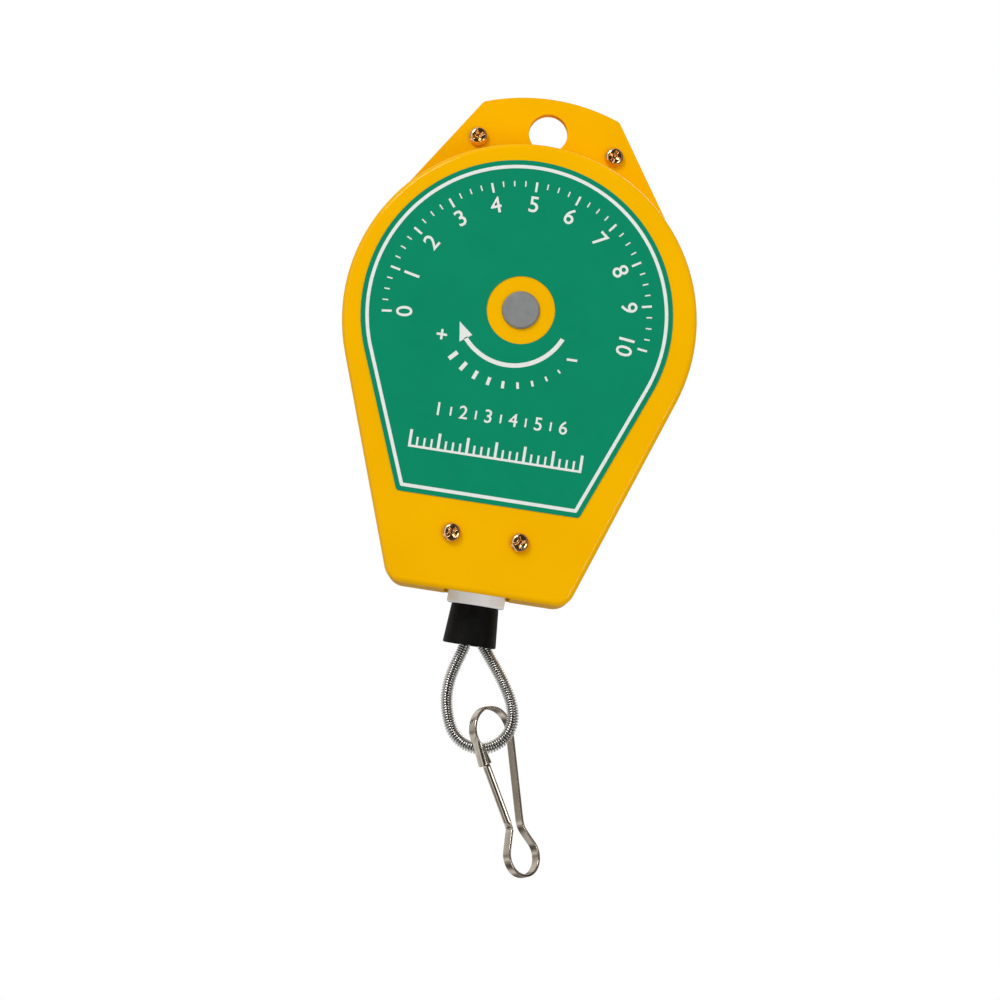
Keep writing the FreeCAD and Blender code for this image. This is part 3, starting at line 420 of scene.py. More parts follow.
# row of figures and ruler at the foot, as drops from the shaft
FIGURES_DROP = 38.0 * MM
FIGURES_PITCH = 8.6 * MM
FIGURES = 6
RULER_DROP = 48.7 * MM
RULER_PITCH = 2.45 * MM
RULER_MARKS = 25
RULER_LONG = 59.75 * MM


def label_line(inset, corner):
    """Outline of the label, moved inwards by inset, as (x, z) points from the lower left corner on."""
    r = LABEL_R - inset
    foot = LABEL_FOOT + inset
    turn = math.pi / 2 + LABEL_ANGLE
    touch_z = LABEL_MID.z - r * math.sin(LABEL_ANGLE)
    half = r * math.cos(LABEL_ANGLE) - (touch_z - foot) * math.tan(LABEL_ANGLE)
    cut = corner / math.tan(turn / 2)
    corner_steps, top_steps = 6, 144
    corners = []
    for side in (-1, 1):
        line = []
        for i in range(corner_steps + 1):
            a = -math.pi / 2 + (math.pi - turn) * i / corner_steps
            line.append((LABEL_MID.x + side * (half - cut + corner * math.cos(a)),
                         foot + corner + corner * math.sin(a)))
        corners.append(line)
    top = []
    for i in range(top_steps + 1):
        a = math.pi + LABEL_ANGLE - (math.pi + 2 * LABEL_ANGLE) * i / top_steps
        top.append((LABEL_MID.x + r * math.cos(a), LABEL_MID.z + r * math.sin(a)))
    return corners[0] + top + corners[1][::-1]


def ribbon(name, inner, outer, closed=True):
    """Flat printed band between two lines of (x, z) points of equal count."""
    y_top = LABEL_FACE - INK
    verts = []
    for line, y in ((inner, LABEL_FACE), (inner, y_top), (outer, y_top), (outer, LABEL_FACE)):
        verts += [(x, y, z) for x, z in line]
    n = len(inner)
    faces = []
    for row in range(3):
        faces += band(row * n, (row + 1) * n, n, closed)
    if not closed:
        faces.append((0, n, 2 * n, 3 * n))
        faces.append((n - 1, 4 * n - 1, 3 * n - 1, 2 * n - 1))
    return mesh_piece(name, verts, faces, "housing", WHITE, smooth=False)


def polar(mid, r, degrees):
    a = math.radians(degrees)
    return (mid.x + r * math.cos(a), mid.z + r * math.sin(a))


# height of a figure as a share of the font's size, and how much bolder it is drawn
CAPITAL_SHARE = 0.72
BOLD_SHARE = 0.012


class Ink:
    """Collects flat printed shapes of one mesh."""

    def __init__(self):
        self.verts = []
        self.faces = []

    def shape(self, corners):
        """A filled convex shape from (x, z) corners."""
        n = len(corners)
        base = len(self.verts)
        for y in (LABEL_FACE, LABEL_FACE - INK):
            self.verts += [(x, y, z) for x, z in corners]
        self.faces.append(tuple(base + n + i for i in range(n)))
        for i in range(n):
            j = (i + 1) % n
            self.faces.append((base + i, base + j, base + n + j, base + n + i))

    def bar(self, at, angle, long, wide):
        """A bar centred on at, turned by angle in degrees."""
        a = math.radians(angle)
        u = (math.cos(a) * long / 2, math.sin(a) * long / 2)
        v = (-math.sin(a) * wide / 2, math.cos(a) * wide / 2)
        self.shape([(at[0] + s * u[0] + t * v[0], at[1] + s * u[1] + t * v[1])
                    for s, t in ((-1, -1), (1, -1), (1, 1), (-1, 1))])

    def text(self, words, at, height, angle=0.0):
        """Plain figures, centred on at."""
        curve = bpy.data.curves.new("figures", "FONT")
        curve.body = words
        curve.align_x = "CENTER"
        curve.align_y = "CENTER"
        curve.size = height / CAPITAL_SHARE
        curve.offset = height * BOLD_SHARE
        curve.resolution_u = 6
        obj = bpy.data.objects.new("figures", curve)
        mesh = bpy.data.meshes.new_from_object(obj)
        turn = Matrix.Rotation(math.radians(angle), 2)
        base = len(self.verts)
        for v in mesh.vertices:
            flat = turn @ Vector((v.co.x, v.co.y))
            self.verts.append((at[0] + flat.x, LABEL_FACE - INK, at[1] + flat.y))
        for poly in mesh.polygons:
            self.faces.append(tuple(base + i for i in poly.vertices))
        bpy.data.objects.remove(obj)
        bpy.data.meshes.remove(mesh)
        bpy.data.curves.remove(curve)

    def piece(self, name):
        return mesh_piece(name, self.verts, self.faces, "housing", WHITE,
                          smooth=False)


def print_arrow():
    """Curved arrow: the way to wind the spring."""
    steps = 48
    sides = []
    for off in (-ARROW_HALF, ARROW_HALF):
        sides.append([polar(ARROW_MID, ARROW_R + off,
                            ARROW_START + (ARROW_END - ARROW_START) * i / steps)
                      for i in range(steps + 1)])
    ribbon("arrow_line", sides[0], sides[1], closed=False)
    head = Ink()
    head.shape([polar(ARROW_MID, ARROW_R - HEAD_HALF, ARROW_END + 1.5),
                polar(ARROW_MID, ARROW_R + HEAD_HALF, ARROW_END + 0.5),
                polar(ARROW_MID, ARROW_R - 0.2 * MM, ARROW_TIP)])
    head.piece("arrow_head")


def print_dial():
    """Dial along the round top."""
    dial = Ink()
    for i in range(DIAL_MARKS):
        a = DIAL_START - DIAL_STEP * i
        is_long = i % LONG_EVERY == 0
        long = 3.4 * MM if is_long else 1.9 * MM
        wide = 0.75 * MM if is_long else 0.45 * MM
        dial.bar(polar(LABEL_MID, DIAL_R - long / 2, a), a, long, wide)
    for i in range(DIAL_MARKS // LONG_EVERY + 1):
        a = DIAL_START - DIAL_STEP * LONG_EVERY * i
        dial.text(str(i), polar(LABEL_MID, DIAL_FIGURES_R, a), 5.6 * MM, a - 90.0)
    dial.piece("dial_figures")


def print_marks():
    """Plus and minus with a growing row of marks under the arrow."""
    marks = Ink()
    for i in range(9):
        a = MARKS_START - MARKS_STEP * i
        size = (0.7 + 0.14 * i) * MM
        marks.bar(polar(ARROW_MID, MARKS_R, a), a, size * 2, size * 0.8)
    for a, is_plus in ((PLUS_AT, True), (MINUS_AT, False)):
        at = polar(ARROW_MID, MARKS_R, a)
        marks.bar(at, 0.0, 3.6 * MM, SIGN_WIDE)
        for side in (-1, 1) if is_plus else ():
            marks.bar((at[0], at[1] + side * 1.1 * MM), 90.0, 1.4 * MM, SIGN_WIDE)
    marks.piece("arrow_marks")


def print_rows():
    """A row of plain figures with dividers, and a ruler."""
    rows = Ink()
    z = SHAFT_Z - FIGURES_DROP
    for i in range(FIGURES):
        x = LABEL_MID.x + (i - (FIGURES - 1) / 2) * FIGURES_PITCH
        rows.text(str(i + 1), (x, z), 4.6 * MM)
    for i in range(FIGURES - 1):
        x = LABEL_MID.x + (i - (FIGURES - 2) / 2) * FIGURES_PITCH
        rows.bar((x, z), 90.0, 3.0 * MM, 0.6 * MM)
    z = SHAFT_Z - RULER_DROP
    foot = z - 2.6 * MM
    for i in range(RULER_MARKS):
        x = LABEL_MID.x + (i - (RULER_MARKS - 1) / 2) * RULER_PITCH
        is_long = i % LONG_EVERY == 0
        tall = 5.2 * MM if is_long else 2.9 * MM
        rows.bar((x, foot + tall / 2), 90.0, tall, 0.95 * MM if is_long else 0.7 * MM)
    rows.bar((LABEL_MID.x, z - 3.0 * MM), 0.0, RULER_LONG, 0.8 * MM)
    rows.piece("row_marks")


def print_label():
    ribbon("label_border", label_line(*BORDER_INNER), label_line(*BORDER_OUTER))
    print_arrow()
    print_dial()
    print_marks()
    print_rows()


print_label()


# ------------------------------------------------------------ loop of rope with its coiled sheath
# the rope's route as in the CAD: x, and height over the bumper's foot, in mm
LOOP_ROUTE = [(-1.1, 8.3), (-1.1, 4.4), (-1.4, -0.8), (-3.4, -6.4), (-4.9, -12.6), (-5.1, -19.1),
              (-3.5, -25.5), (-0.6, -31.4), (5.1, -34.7), (11.7, -34.4), (17.0, -30.6),
              (19.3, -24.5), (18.0, -18.1), (14.7, -12.3), (10.9, -7.0), (6.8, -2.0),
              (3.4, 2.5), (1.3, 5.6), (1.1, 8.3)]
BUMPER_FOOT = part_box("rubber_bumper")[0].z
ROPE_R = 1.0 * MM
WIRE_R = 0.32 * MM
SHEATH_R = 2.12 * MM
SHEATH_PITCH = 0.82 * MM
# how far each end of the sheath stays from the rope's end, inside the bumper
SHEATH_START = 3.9 * MM
SHEATH_END = 3.1 * MM


def loop_curve():
    """The rope as a NURBS with the route's points as its control points."""
    curve = bpy.data.curves.new("loop_rope", "CURVE")
    curve.dimensions = "3D"
    spline = curve.splines.new("NURBS")
    spline.points.add(len(LOOP_ROUTE) - 1)
    for point, (x, z) in zip(spline.points, LOOP_ROUTE):
        point.co = (x * MM, 0, BUMPER_FOOT + z * MM, 1)
    spline.order_u = 3
    spline.use_endpoint_u = True
    spline.resolution_u = 16
    obj = bpy.data.objects.new("loop_rope", curve)
    bpy.context.scene.collection.objects.link(obj)
    return obj


def line_points(obj):
    """Points along a curve that has no bevel yet."""
    mesh = bpy.data.meshes.new_from_object(obj)
    pts = [v.co.copy() for v in mesh.vertices]
    bpy.data.meshes.remove(mesh)
    return pts


def walk(pts):
    """Distance along the points."""
    out = [0.0]
    for p, q in zip(pts, pts[1:]):
        out.append(out[-1] + (q - p).length)
    return out


def at_distance(pts, dist, d):
    """Point and direction at distance d."""
    d = min(max(d, 0.0), dist[-1])
    i = 0
    while i < len(dist) - 2 and dist[i + 1] < d:
        i += 1
    share = (d - dist[i]) / max(dist[i + 1] - dist[i], 1e-9)
    return pts[i].lerp(pts[i + 1], share), (pts[i + 1] - pts[i]).normalized()


def coil(name, pts, start, end):
    """The sheath: a helix of wire round the rope, its turns a little wider apart in bends."""
    dist = walk(pts)
    per_turn, ring = 14, 7
    reach = 1.5 * MM
    spread = 0.5
    centre_r = SHEATH_R - WIRE_R
    across = Vector((0, 1, 0))
    centres = []
    d, phase = start, 0.0
    while d < end:
        p, way = at_distance(pts, dist, d)
        _, ahead = at_distance(pts, dist, min(d + reach, end))
        _, behind = at_distance(pts, dist, max(d - reach, start))
        bend = (ahead - behind).length / (2 * reach)
        side = way.cross(across).normalized()
        out = side * math.cos(phase) + across * math.sin(phase)
        centres.append((p + out * centre_r, way))
        phase += 2 * math.pi / per_turn
        d += SHEATH_PITCH * (1.0 + spread * bend * centre_r) / per_turn
    verts = []
    for k, (c, way) in enumerate(centres):
        low = centres[max(k - 1, 0)][0]
        high = centres[min(k + 1, len(centres) - 1)][0]
        along = (high - low).normalized()
        u = along.cross(way).normalized()
        v = along.cross(u).normalized()
        for i in range(ring):
            a = 2 * math.pi * i / ring
            verts.append(c + (u * math.cos(a) + v * math.sin(a)) * WIRE_R)
    faces = []
    for k in range(len(centres) - 1):
        faces += band(k * ring, (k + 1) * ring, ring)
    faces.append(tuple(range(ring)))
    faces.append(tuple(range(len(verts) - 1, len(verts) - 1 - ring, -1)))
    return mesh_piece(name, verts, faces, "cable_end", FINISH["sheath_wire"])


def rope_loop():
    rope = loop_curve()
    pts = line_points(rope)
    dist = walk(pts)
    sheath = coil("sheath_coil", pts, SHEATH_START, dist[-1] - SHEATH_END)
    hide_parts("loop_sheath")
    rope.data.bevel_depth = ROPE_R
    rope.data.bevel_resolution = 3
    rope.data.use_fill_caps = True
    rope.data.materials.append(FINISH["wire_rope"])
    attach(rope, "cable_end")
    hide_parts("rope_loop")


rope_loop()


# ------------------------------------------------------------ snap hook
# drawn flat about the centre of its round top, as in the CAD, then put in its place
TOP_R = 8.7 * MM
EYE_R = 6.9 * MM
STRIP_T = 1.0 * MM
STRIP_HALF = 1.8 * MM
EDGE_R = 0.12 * MM
EYE_DROP = 43.7 * MM
NECK_DROP = 34.0 * MM
NECK_HALF = 2.65 * MM
HOOK_TURN = math.radians(44.0)
HOOK_LEAN = math.radians(22.5)
HOOK_PLACE = (Matrix.Translation((12.3 * MM, 0.2 * MM, BUMPER_FOOT - 28.5 * MM))
              @ Matrix.Rotation(-HOOK_LEAN, 4, "Y") @ Matrix.Rotation(HOOK_TURN, 4, "Z"))

# the nose: a channel that is deepest at its end and flattens into the strip
NOSE_DROP = 10.5 * MM
NOSE_IN = 0.4 * MM
NOSE_HALF = 1.9 * MM
NOSE_CORNER = 1.7 * MM
NOSE_DEEP = 3.2 * MM
NOSE_SLOPE = 0.18
NOSE_T = 0.72 * MM
NOSE_ROLL = (4.5 * MM, NOSE_DROP + 1.5 * MM)

# the gate: flat at its foot, then a half round whose end is drawn in under the nose
GATE_R = 1.37 * MM
GATE_T = 0.62 * MM
GATE_ROLL = (0.2 * MM, 3.4 * MM)
GATE_CLOSE = (23.4 * MM, 25.6 * MM)


def touch(mid, r, p, side):
    """Point where a line from p touches the circle, in the hook's plane."""
    d = (p[0] - mid[0], p[1] - mid[1])
    a = math.atan2(d[1], d[0]) + side * math.acos(r / math.hypot(*d))
    return (mid[0] + r * math.cos(a), mid[1] + r * math.sin(a))


def arc(mid, r, start, end, steps):
    """Points clockwise round mid, from the angle of start to the angle of end."""
    a0 = math.atan2(start[1] - mid[1], start[0] - mid[0])
    a1 = math.atan2(end[1] - mid[1], end[0] - mid[0])
    if a1 > a0:
        a1 -= 2 * math.pi
    return [(mid[0] + r * math.cos(a0 + (a1 - a0) * i / steps),
             mid[1] + r * math.sin(a0 + (a1 - a0) * i / steps)) for i in range(steps + 1)]


def straight(p, q, steps):
    """Points from p to q, without the two ends."""
    return [(p[0] + (q[0] - p[0]) * i / steps, p[1] + (q[1] - p[1]) * i / steps)
            for i in range(1, steps)]


def eased(pts, rounds):
    """Rounds the corners of a dense line a little."""
    for _ in range(rounds):
        inner = [((a[0] + 2 * b[0] + c[0]) / 4, (a[1] + 2 * b[1] + c[1]) / 4)
                 for a, b, c in zip(pts, pts[1:], pts[2:])]
        pts = [pts[0]] + inner + [pts[-1]]
    return pts


def strip_row(at, way, length, section, end_shift):
    """Ring of points round the strip's section at one point of its line."""
    across = 19
    inward = Vector((way.z, 0, -way.x))
    mid = []
    for i in range(across):
        y, deep, t = section(length, -1 + 2 * i / (across - 1))
        point = Vector((at[0], y, at[1])) + inward * deep + way * end_shift(length, y)
        mid.append((point, t))
    outer, inner = [], []
    for i, (point, t) in enumerate(mid):
        over = mid[min(i + 1, across - 1)][0] - mid[max(i - 1, 0)][0]
        over -= way * over.dot(way)
        normal = over.normalized().cross(way)
        soft = 1.0 if 0 < i < across - 1 else 0.55
        outer.append(point - normal * t / 2 * soft)
        inner.append(point + normal * t / 2 * soft)
    return outer + inner[::-1]


def formed(name, line, section, end_shift, body, replaced):
    """Strip formed along a flat line; section(length, s) gives (y, inward, thickness)."""
    verts = []
    ring = 0
    length = 0.0
    rows = len(line)
    for k, at in enumerate(line):
        a = line[max(k - 1, 0)]
        b = line[min(k + 1, rows - 1)]
        if k:
            length += math.hypot(at[0] - a[0], at[1] - a[1])
        way = Vector((b[0] - a[0], 0, b[1] - a[1])).normalized()
        row = strip_row(at, way, length, section, end_shift)
        ring = len(row)
        verts += row
    faces = []
    for k in range(rows - 1):
        for i in range(ring):
            j = (i + 1) % ring
            faces.append((k * ring + i, (k + 1) * ring + i, (k + 1) * ring + j, k * ring + j))
    for start, flip in ((0, True), ((rows - 1) * ring, False)):
        for i in range(ring // 2 - 1):
            quad = (start + i, start + i + 1, start + ring - 2 - i, start + ring - 1 - i)
            faces.append(quad if flip else quad[::-1])
    verts = [HOOK_PLACE @ v for v in verts]
    mesh = mesh_piece(name, verts, faces, body, FINISH["nickel"])
    edge = mesh.modifiers.new("edge", "BEVEL")
    edge.width = EDGE_R
    edge.segments = 2
    edge.limit_method = "ANGLE"
    edge.angle_limit = math.radians(50)
    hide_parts(replaced)


def smooth_step(x, low, high):
    t = min(max((x - low) / (high - low), 0.0), 1.0)
    return t * t * (3 - 2 * t)


def hook_line():
    top = (0.0, 0.0)
    eye = (0.0, -EYE_DROP)
    neck = (NECK_HALF, -NECK_DROP)
    foot = (-NECK_HALF, -NECK_DROP)
    nose_end = (-TOP_R + NOSE_IN, -NOSE_DROP)
    left = touch(top, TOP_R, nose_end, -1)
    right = touch(top, TOP_R, neck, 1)
    eye_in = touch(eye, EYE_R, neck, -1)
    eye_out = touch(eye, EYE_R, foot, 1)
    legs = straight(right, neck, 60) + [neck] + straight(neck, eye_in, 12)
    line = [nose_end] + straight(nose_end, left, 26) + arc(top, TOP_R, left, right, 44)
    line += eased([right] + legs + [eye_in], 14)[1:-1]
    line += arc(eye, EYE_R, eye_in, eye_out, 54)
    line += straight(eye_out, foot, 6) + [foot]
    return line


def hook_section(length, s):
    """Flat strip; rolled to a channel at the nose."""
    roll = 1.0 - smooth_step(length, *NOSE_ROLL)
    flat_y = s * (STRIP_HALF - EDGE_R)
    deep = max(NOSE_DEEP - NOSE_SLOPE * length, NOSE_CORNER)
    floor = NOSE_HALF - NOSE_CORNER
    bend = NOSE_CORNER * math.pi / 2
    go = abs(s) * (floor + bend + deep - NOSE_CORNER)
    sign = -1 if s < 0 else 1
    if go < floor:
        y, u = go, 0.0
    elif go < floor + bend:
        a = (go - floor) / NOSE_CORNER
        y, u = floor + NOSE_CORNER * math.sin(a), NOSE_CORNER * (1 - math.cos(a))
    else:
        y, u = NOSE_HALF, NOSE_CORNER + go - floor - bend
    crown = -0.04 * MM * (1 - s * s)
    t = STRIP_T + (NOSE_T - STRIP_T) * roll
    y = sign * y * roll + flat_y * (1 - roll)
    u = u * roll + crown - (STRIP_T - t) / 2 * roll
    return y, u, t


def nose_shift(length, y):
    """Rounds the end of the nose a little."""
    near = 1.0 - smooth_step(length, 0.0, 3.2 * MM)
    return near * 0.5 * MM * (y / (2.0 * MM)) ** 2


def gate_line():
    base = (-NECK_HALF, -NECK_DROP + 0.02 * MM)
    bend = (-NECK_HALF + 0.3 * MM, -NECK_DROP + 3.0 * MM)
    tip = (-TOP_R + 2.6 * MM, -8.0 * MM)
    return eased([base] + straight(base, bend, 8) + [bend] + straight(bend, tip, 58) + [tip], 6)


def gate_section(length, s):
    """Flat at the foot, then rolled to a half round."""
    roll = smooth_step(length, *GATE_ROLL)
    r = GATE_R * (1 - 0.35 * smooth_step(length, *GATE_CLOSE))
    a = s * math.pi / 2
    y = r * math.sin(a) * roll + s * (STRIP_HALF - EDGE_R) * (1 - roll)
    u = -r * math.cos(a) * roll
    return y, u, GATE_T


def no_shift(length, y):
    return 0.0


formed("hook_strip", hook_line(), hook_section, nose_shift, "hook", "snap_hook")
formed("gate_strip", gate_line(), gate_section, no_shift, "gate", "hook_gate")


# ------------------------------------------------------------ screws with a cross recess
HEAD_R = 3.35 * MM
HEAD_H = 2.3 * MM
SHANK_R = 1.5 * MM
POINT_H = 0.4 * MM

# rounding of the head: where it starts, as a share of the radius, and how far it drops
ROUND_FROM = 0.55
ROUND_DROP = 1.35 * MM

# recess: its arms run from full depth to none between these distances
ARM_SIDE = (0.26 * MM, 0.5 * MM)
ARM_END = (1.75 * MM, 2.25 * MM)
ARM_DEEP = 1.3 * MM
ARM_SLOPE = 0.35
CORE_SIDE = (0.5 * MM, 1.5 * MM)
CORE_DEEP = 1.4 * MM

# piece, CAD node that it replaces, and how far its two recesses are turned
SCREW_PAIRS = (("tab_screws", "top_screws", (0.5, -0.35)),
               ("case_screws", "foot_screws", (0.78, 0.3)))


def head_height(r, a):
    """Height of the head's face at radius r and angle a, with the cross recess cut in."""
    edge = r / HEAD_R
    dome = HEAD_H - 0.12 * MM * edge ** 2
    if edge > ROUND_FROM:
        out = (edge - ROUND_FROM) / (1.0 - ROUND_FROM)
        dome -= ROUND_DROP * (1 - math.sqrt(max(1 - out ** 2, 0.0)))
    x, z = abs(r * math.cos(a)), abs(r * math.sin(a))
    along, across = max(x, z), min(x, z)
    arm = (1.0 - smooth_step(across, *ARM_SIDE)) * (1.0 - smooth_step(along, *ARM_END))
    core = 1.0 - smooth_step(x + z, *CORE_SIDE)
    return dome - max(arm * (ARM_DEEP - ARM_SLOPE * along), core * CORE_DEEP)


def screws(name, node, face_y, length, spots):
    """Pan head screws whose heads lie against face_y, one mesh for all spots (x, z, turn)."""
    sides, rings = 80, 26
    shank = ((HEAD_R, face_y), (SHANK_R, face_y), (SHANK_R, face_y + length - POINT_H),
             (SHANK_R - POINT_H, face_y + length))
    verts, faces = [], []
    for x, z, turn in spots:
        base = len(verts)
        verts.append((x, face_y - head_height(0.0, 0.0), z))
        for k in range(1, rings + 1):
            r = HEAD_R * k / rings
            for i in range(sides):
                a = 2 * math.pi * i / sides
                verts.append((x + r * math.cos(a + turn), face_y - head_height(r, a),
                              z + r * math.sin(a + turn)))
        for r, y in shank:
            for i in range(sides):
                a = 2 * math.pi * i / sides
                verts.append((x + r * math.cos(a + turn), y, z + r * math.sin(a + turn)))
        for i in range(sides):
            faces.append((base, base + 1 + (i + 1) % sides, base + 1 + i))
        last = rings + len(shank) - 1
        for k in range(last):
            faces += band(base + 1 + k * sides, base + 1 + (k + 1) * sides, sides)
        end = base + 1 + last * sides
        faces.append(tuple(end + i for i in range(sides)))
    obj = mesh_piece(name, verts, faces, "housing", FINISH["zinc_yellow"])
    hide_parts(node)


def case_screws():
    for name, node, turns in SCREW_PAIRS:
        low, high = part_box(node)
        z = (low.z + high.z) / 2
        left, right = low.x + HEAD_R, high.x - HEAD_R
        face = low.y + HEAD_H
        screws(name, node, face, high.y - face, ((left, z, turns[0]), (right, z, turns[1])))


case_screws()


# ------------------------------------------------------------ rope that is drawn out
# a little inside the CAD's solid
DRAWN_R = ROPE_R * 0.97


def drawn_rope():
    """Straight rope from the guide to the ferrule."""
    low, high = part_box("rope_tail")
    x, y = (low.x + high.x) / 2, (low.y + high.y) / 2
    sides, rows = 16, 40
    verts, faces = [], []
    for k in range(rows + 1):
        z = high.z + (low.z - high.z) * k / rows
        for i in range(sides):
            a = 2 * math.pi * i / sides
            verts.append((x + DRAWN_R * math.cos(a), y + DRAWN_R * math.sin(a), z))
    for k in range(rows):
        faces += band(k * sides, (k + 1) * sides, sides)
    faces.append(tuple(range(sides)))
    faces.append(tuple(rows * sides + sides - 1 - i for i in range(sides)))
    mesh = bpy.data.meshes.new("drawn_rope")
    mesh.from_pydata(verts, [], faces)
    for poly in mesh.polygons:
        poly.use_smooth = True
    mesh.materials.append(FINISH["wire_rope"])
    obj = bpy.data.objects.new("drawn_rope", mesh)
    bpy.context.scene.collection.objects.link(obj)
    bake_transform(obj)
    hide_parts("rope_tail")


drawn_rope()


# ------------------------------------------------------------ stage and light
# what the polished metal sees round the room, as (share of a turn, level): from the left over
# the camera's side and the right to the back
ROOM = ((0.0, 0.45), (0.09, 0.35), (0.115, 1.0), (0.165, 1.0), (0.18, 0.04), (0.38, 0.04),
        (0.41, 0.35), (0.45, 0.35), (0.47, 0.04), (0.54, 0.05), (0.58, 0.85), (0.68, 0.85),
        (0.72, 0.2), (0.78, 0.2), (0.82, 0.9), (0.93, 0.9), (1.0, 0.45))
# bands that it sees on the left of the floor, as (distance over FLOOR_FAR, level)
FLOOR_FAR = 12.0
FLOOR_LEFT = ((0.0, 0.7), (0.05, 0.6), (0.08, 0.06), (0.13, 0.08), (0.16, 0.4), (0.21, 0.42),
              (0.235, 1.0), (0.34, 0.95), (0.46, 0.36), (0.85, 0.38), (1.0, 0.03))
# how much of those bands the floor has round a turn; the rest is ROOM's
FLOOR_ROUND = ((0.0, 1.0), (0.05, 1.0), (0.12, 0.0), (0.88, 0.0), (0.95, 1.0))
WARM = (1.0, 0.87, 0.74)
PLAIN_WHITE = (1, 1, 1, 1)

FLOOR_HALF = 14.0
FLOOR_BELOW = 0.06
FLOOR_COLOUR = (0.92, 0.92, 0.92, 1)
# the floor's white for the camera: its share near the part, and where it is complete
GLOW_NEAR = 0.9
GLOW_FAR = 6.0

# light of the world on surfaces that don't mirror it: from the front side and from behind
FRONT_SIDE = (0.0, -0.97, 0.24)
WORLD_FRONT = 0.58
WORLD_BEHIND = 0.36

# lamps, as (name, place, size, watts)
LAMPS = (("key", (-0.65, -0.95, 0.75), 0.55, 8.0),
         ("fill", (0.75, -1.15, -0.35), 0.6, 3.9),
         ("back", (0.3, 1.1, 0.9), 0.9, 6.5))
LAMP_AIM = Vector((0, 0, -0.12))


def ramp_of(tree, source, stops):
    """Levels of a warm grey along source, as a colour; a bright level is white."""
    node = tree.node("ShaderNodeValToRGB")
    marks = node.color_ramp.elements
    for i, (place, level) in enumerate(stops):
        mark = marks[i] if i < 2 else marks.new(place)
        mark.position = place
        mark.color = [level * (w + (1.0 - w) * level) for w in WARM] + [1.0]
    tree.link(source, node.inputs["Fac"])
    return node.outputs["Color"]


def round_about(tree, place):
    """Share of a turn round the vertical axis."""
    node = tree.node("ShaderNodeTexGradient", gradient_type="RADIAL")
    tree.link(place, node.inputs["Vector"])
    return node.outputs["Fac"]


def floor_material():
    """White for the camera, bands for reflections, and a plain surface that keeps the shadow."""
    mat = bpy.data.materials.new("floor")
    mat.use_nodes = True
    tree = Tree(mat.node_tree)
    shader = tree.find("Principled BSDF")
    shader.inputs["Base Color"].default_value = FLOOR_COLOUR
    shader.inputs["Roughness"].default_value = 0.8
    place = tree.node("ShaderNodeTexCoord").outputs["Object"]
    flat = tree.node("ShaderNodeVectorMath", operation="MULTIPLY")
    flat.inputs[1].default_value = (1, 1, 0)
    tree.link(place, flat.inputs[0])
    far = tree.node("ShaderNodeVectorMath", operation="LENGTH")
    tree.link(flat.outputs["Vector"], far.inputs[0])
    distance = far.outputs["Value"]
    turn = round_about(tree, place)
    left = ramp_of(tree, tree.maths("DIVIDE", distance, FLOOR_FAR), FLOOR_LEFT)
    bands = tree.mixed(ramp_of(tree, turn, FLOOR_ROUND), ramp_of(tree, turn, ROOM), left)
    ray = tree.node("ShaderNodeLightPath").outputs
    white = tree.node("ShaderNodeEmission")
    tree.link(tree.mixed(ray["Is Camera Ray"], bands, PLAIN_WHITE), white.inputs["Color"])
    seen = tree.maths("MAXIMUM", ray["Is Camera Ray"], ray["Is Glossy Ray"])
    glow = tree.span(distance, 0.0, GLOW_FAR, GLOW_NEAR, 1.0)
    mix = tree.mixed_shader(tree.maths("MULTIPLY", glow, seen), shader.outputs["BSDF"],
                            white.outputs["Emission"])
    tree.link(mix, tree.find("Material Output").inputs["Surface"])
    return mat


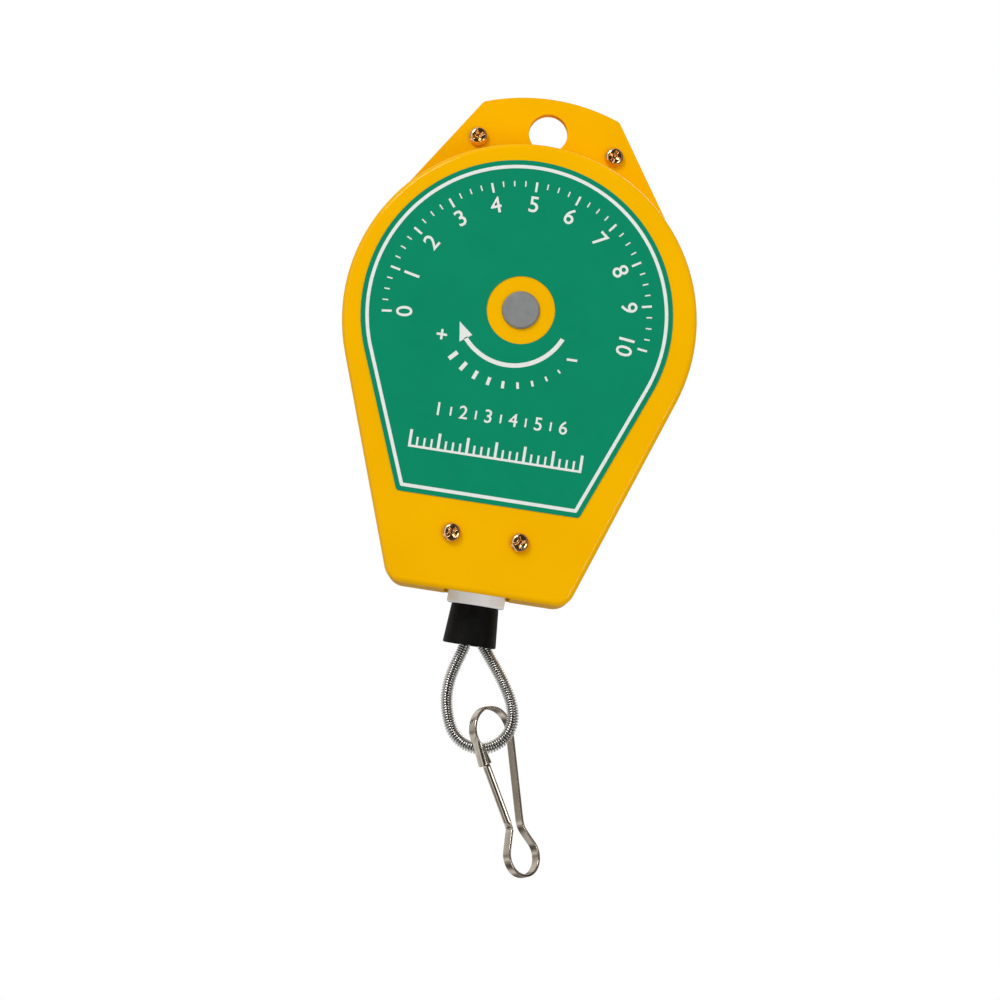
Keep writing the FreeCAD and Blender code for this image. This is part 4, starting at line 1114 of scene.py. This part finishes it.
def make_floor():
    """A floor that lies below the drawn-out rope."""
    size = FLOOR_HALF
    travel = [j for j in frame["record"]["behaviour"]["joints"] if j["name"] == "cable_pull"]
    z = cad_box[0].z - travel[0]["range_m"][1] - FLOOR_BELOW
    mesh = bpy.data.meshes.new("floor")
    mesh.from_pydata([(-size, -size, z), (size, -size, z), (size, size, z), (-size, size, z)],
                     [], [(0, 1, 2, 3)])
    floor = bpy.data.objects.new("floor", mesh)
    bpy.context.scene.collection.objects.link(floor)
    mesh.materials.append(floor_material())


def make_world():
    """White for the camera, a studio of light and dark for reflections, plain as a light."""
    world = bpy.data.worlds.new("studio")
    bpy.context.scene.world = world
    world.use_nodes = True
    tree = Tree(world.node_tree)
    place = tree.node("ShaderNodeTexCoord").outputs["Generated"]
    ray = tree.node("ShaderNodeLightPath").outputs
    room = tree.find("Background")
    walls = ramp_of(tree, round_about(tree, place), ROOM)
    tree.link(tree.mixed(ray["Is Camera Ray"], walls, PLAIN_WHITE), room.inputs["Color"])
    room.inputs["Strength"].default_value = 1.0
    front = tree.node("ShaderNodeVectorMath", operation="DOT_PRODUCT")
    front.inputs[1].default_value = FRONT_SIDE
    tree.link(place, front.inputs[0])
    dim = tree.node("ShaderNodeBackground")
    dim.inputs["Color"].default_value = PLAIN_WHITE
    tree.link(tree.span(front.outputs["Value"], -1.0, 1.0, WORLD_BEHIND, WORLD_FRONT),
              dim.inputs["Strength"])
    seen = tree.maths("MAXIMUM", ray["Is Camera Ray"], ray["Is Glossy Ray"])
    seen = tree.maths("MAXIMUM", seen, ray["Is Transmission Ray"])
    mix = tree.mixed_shader(seen, dim.outputs["Background"], room.outputs["Background"])
    tree.link(mix, tree.find("World Output").inputs["Surface"])


def make_lamp(name, at, size, watts):
    data = bpy.data.lights.new(name, "AREA")
    data.shape = "DISK"
    data.size = size
    data.energy = watts
    lamp = bpy.data.objects.new(name, data)
    bpy.context.scene.collection.objects.link(lamp)
    lamp.location = at
    aim = LAMP_AIM - Vector(at)
    lamp.rotation_euler = aim.to_track_quat("-Z", "Y").to_euler()


make_floor()
make_world()
for settings in LAMPS:
    make_lamp(*settings)
bpy.context.scene.view_settings.view_transform = "Standard"
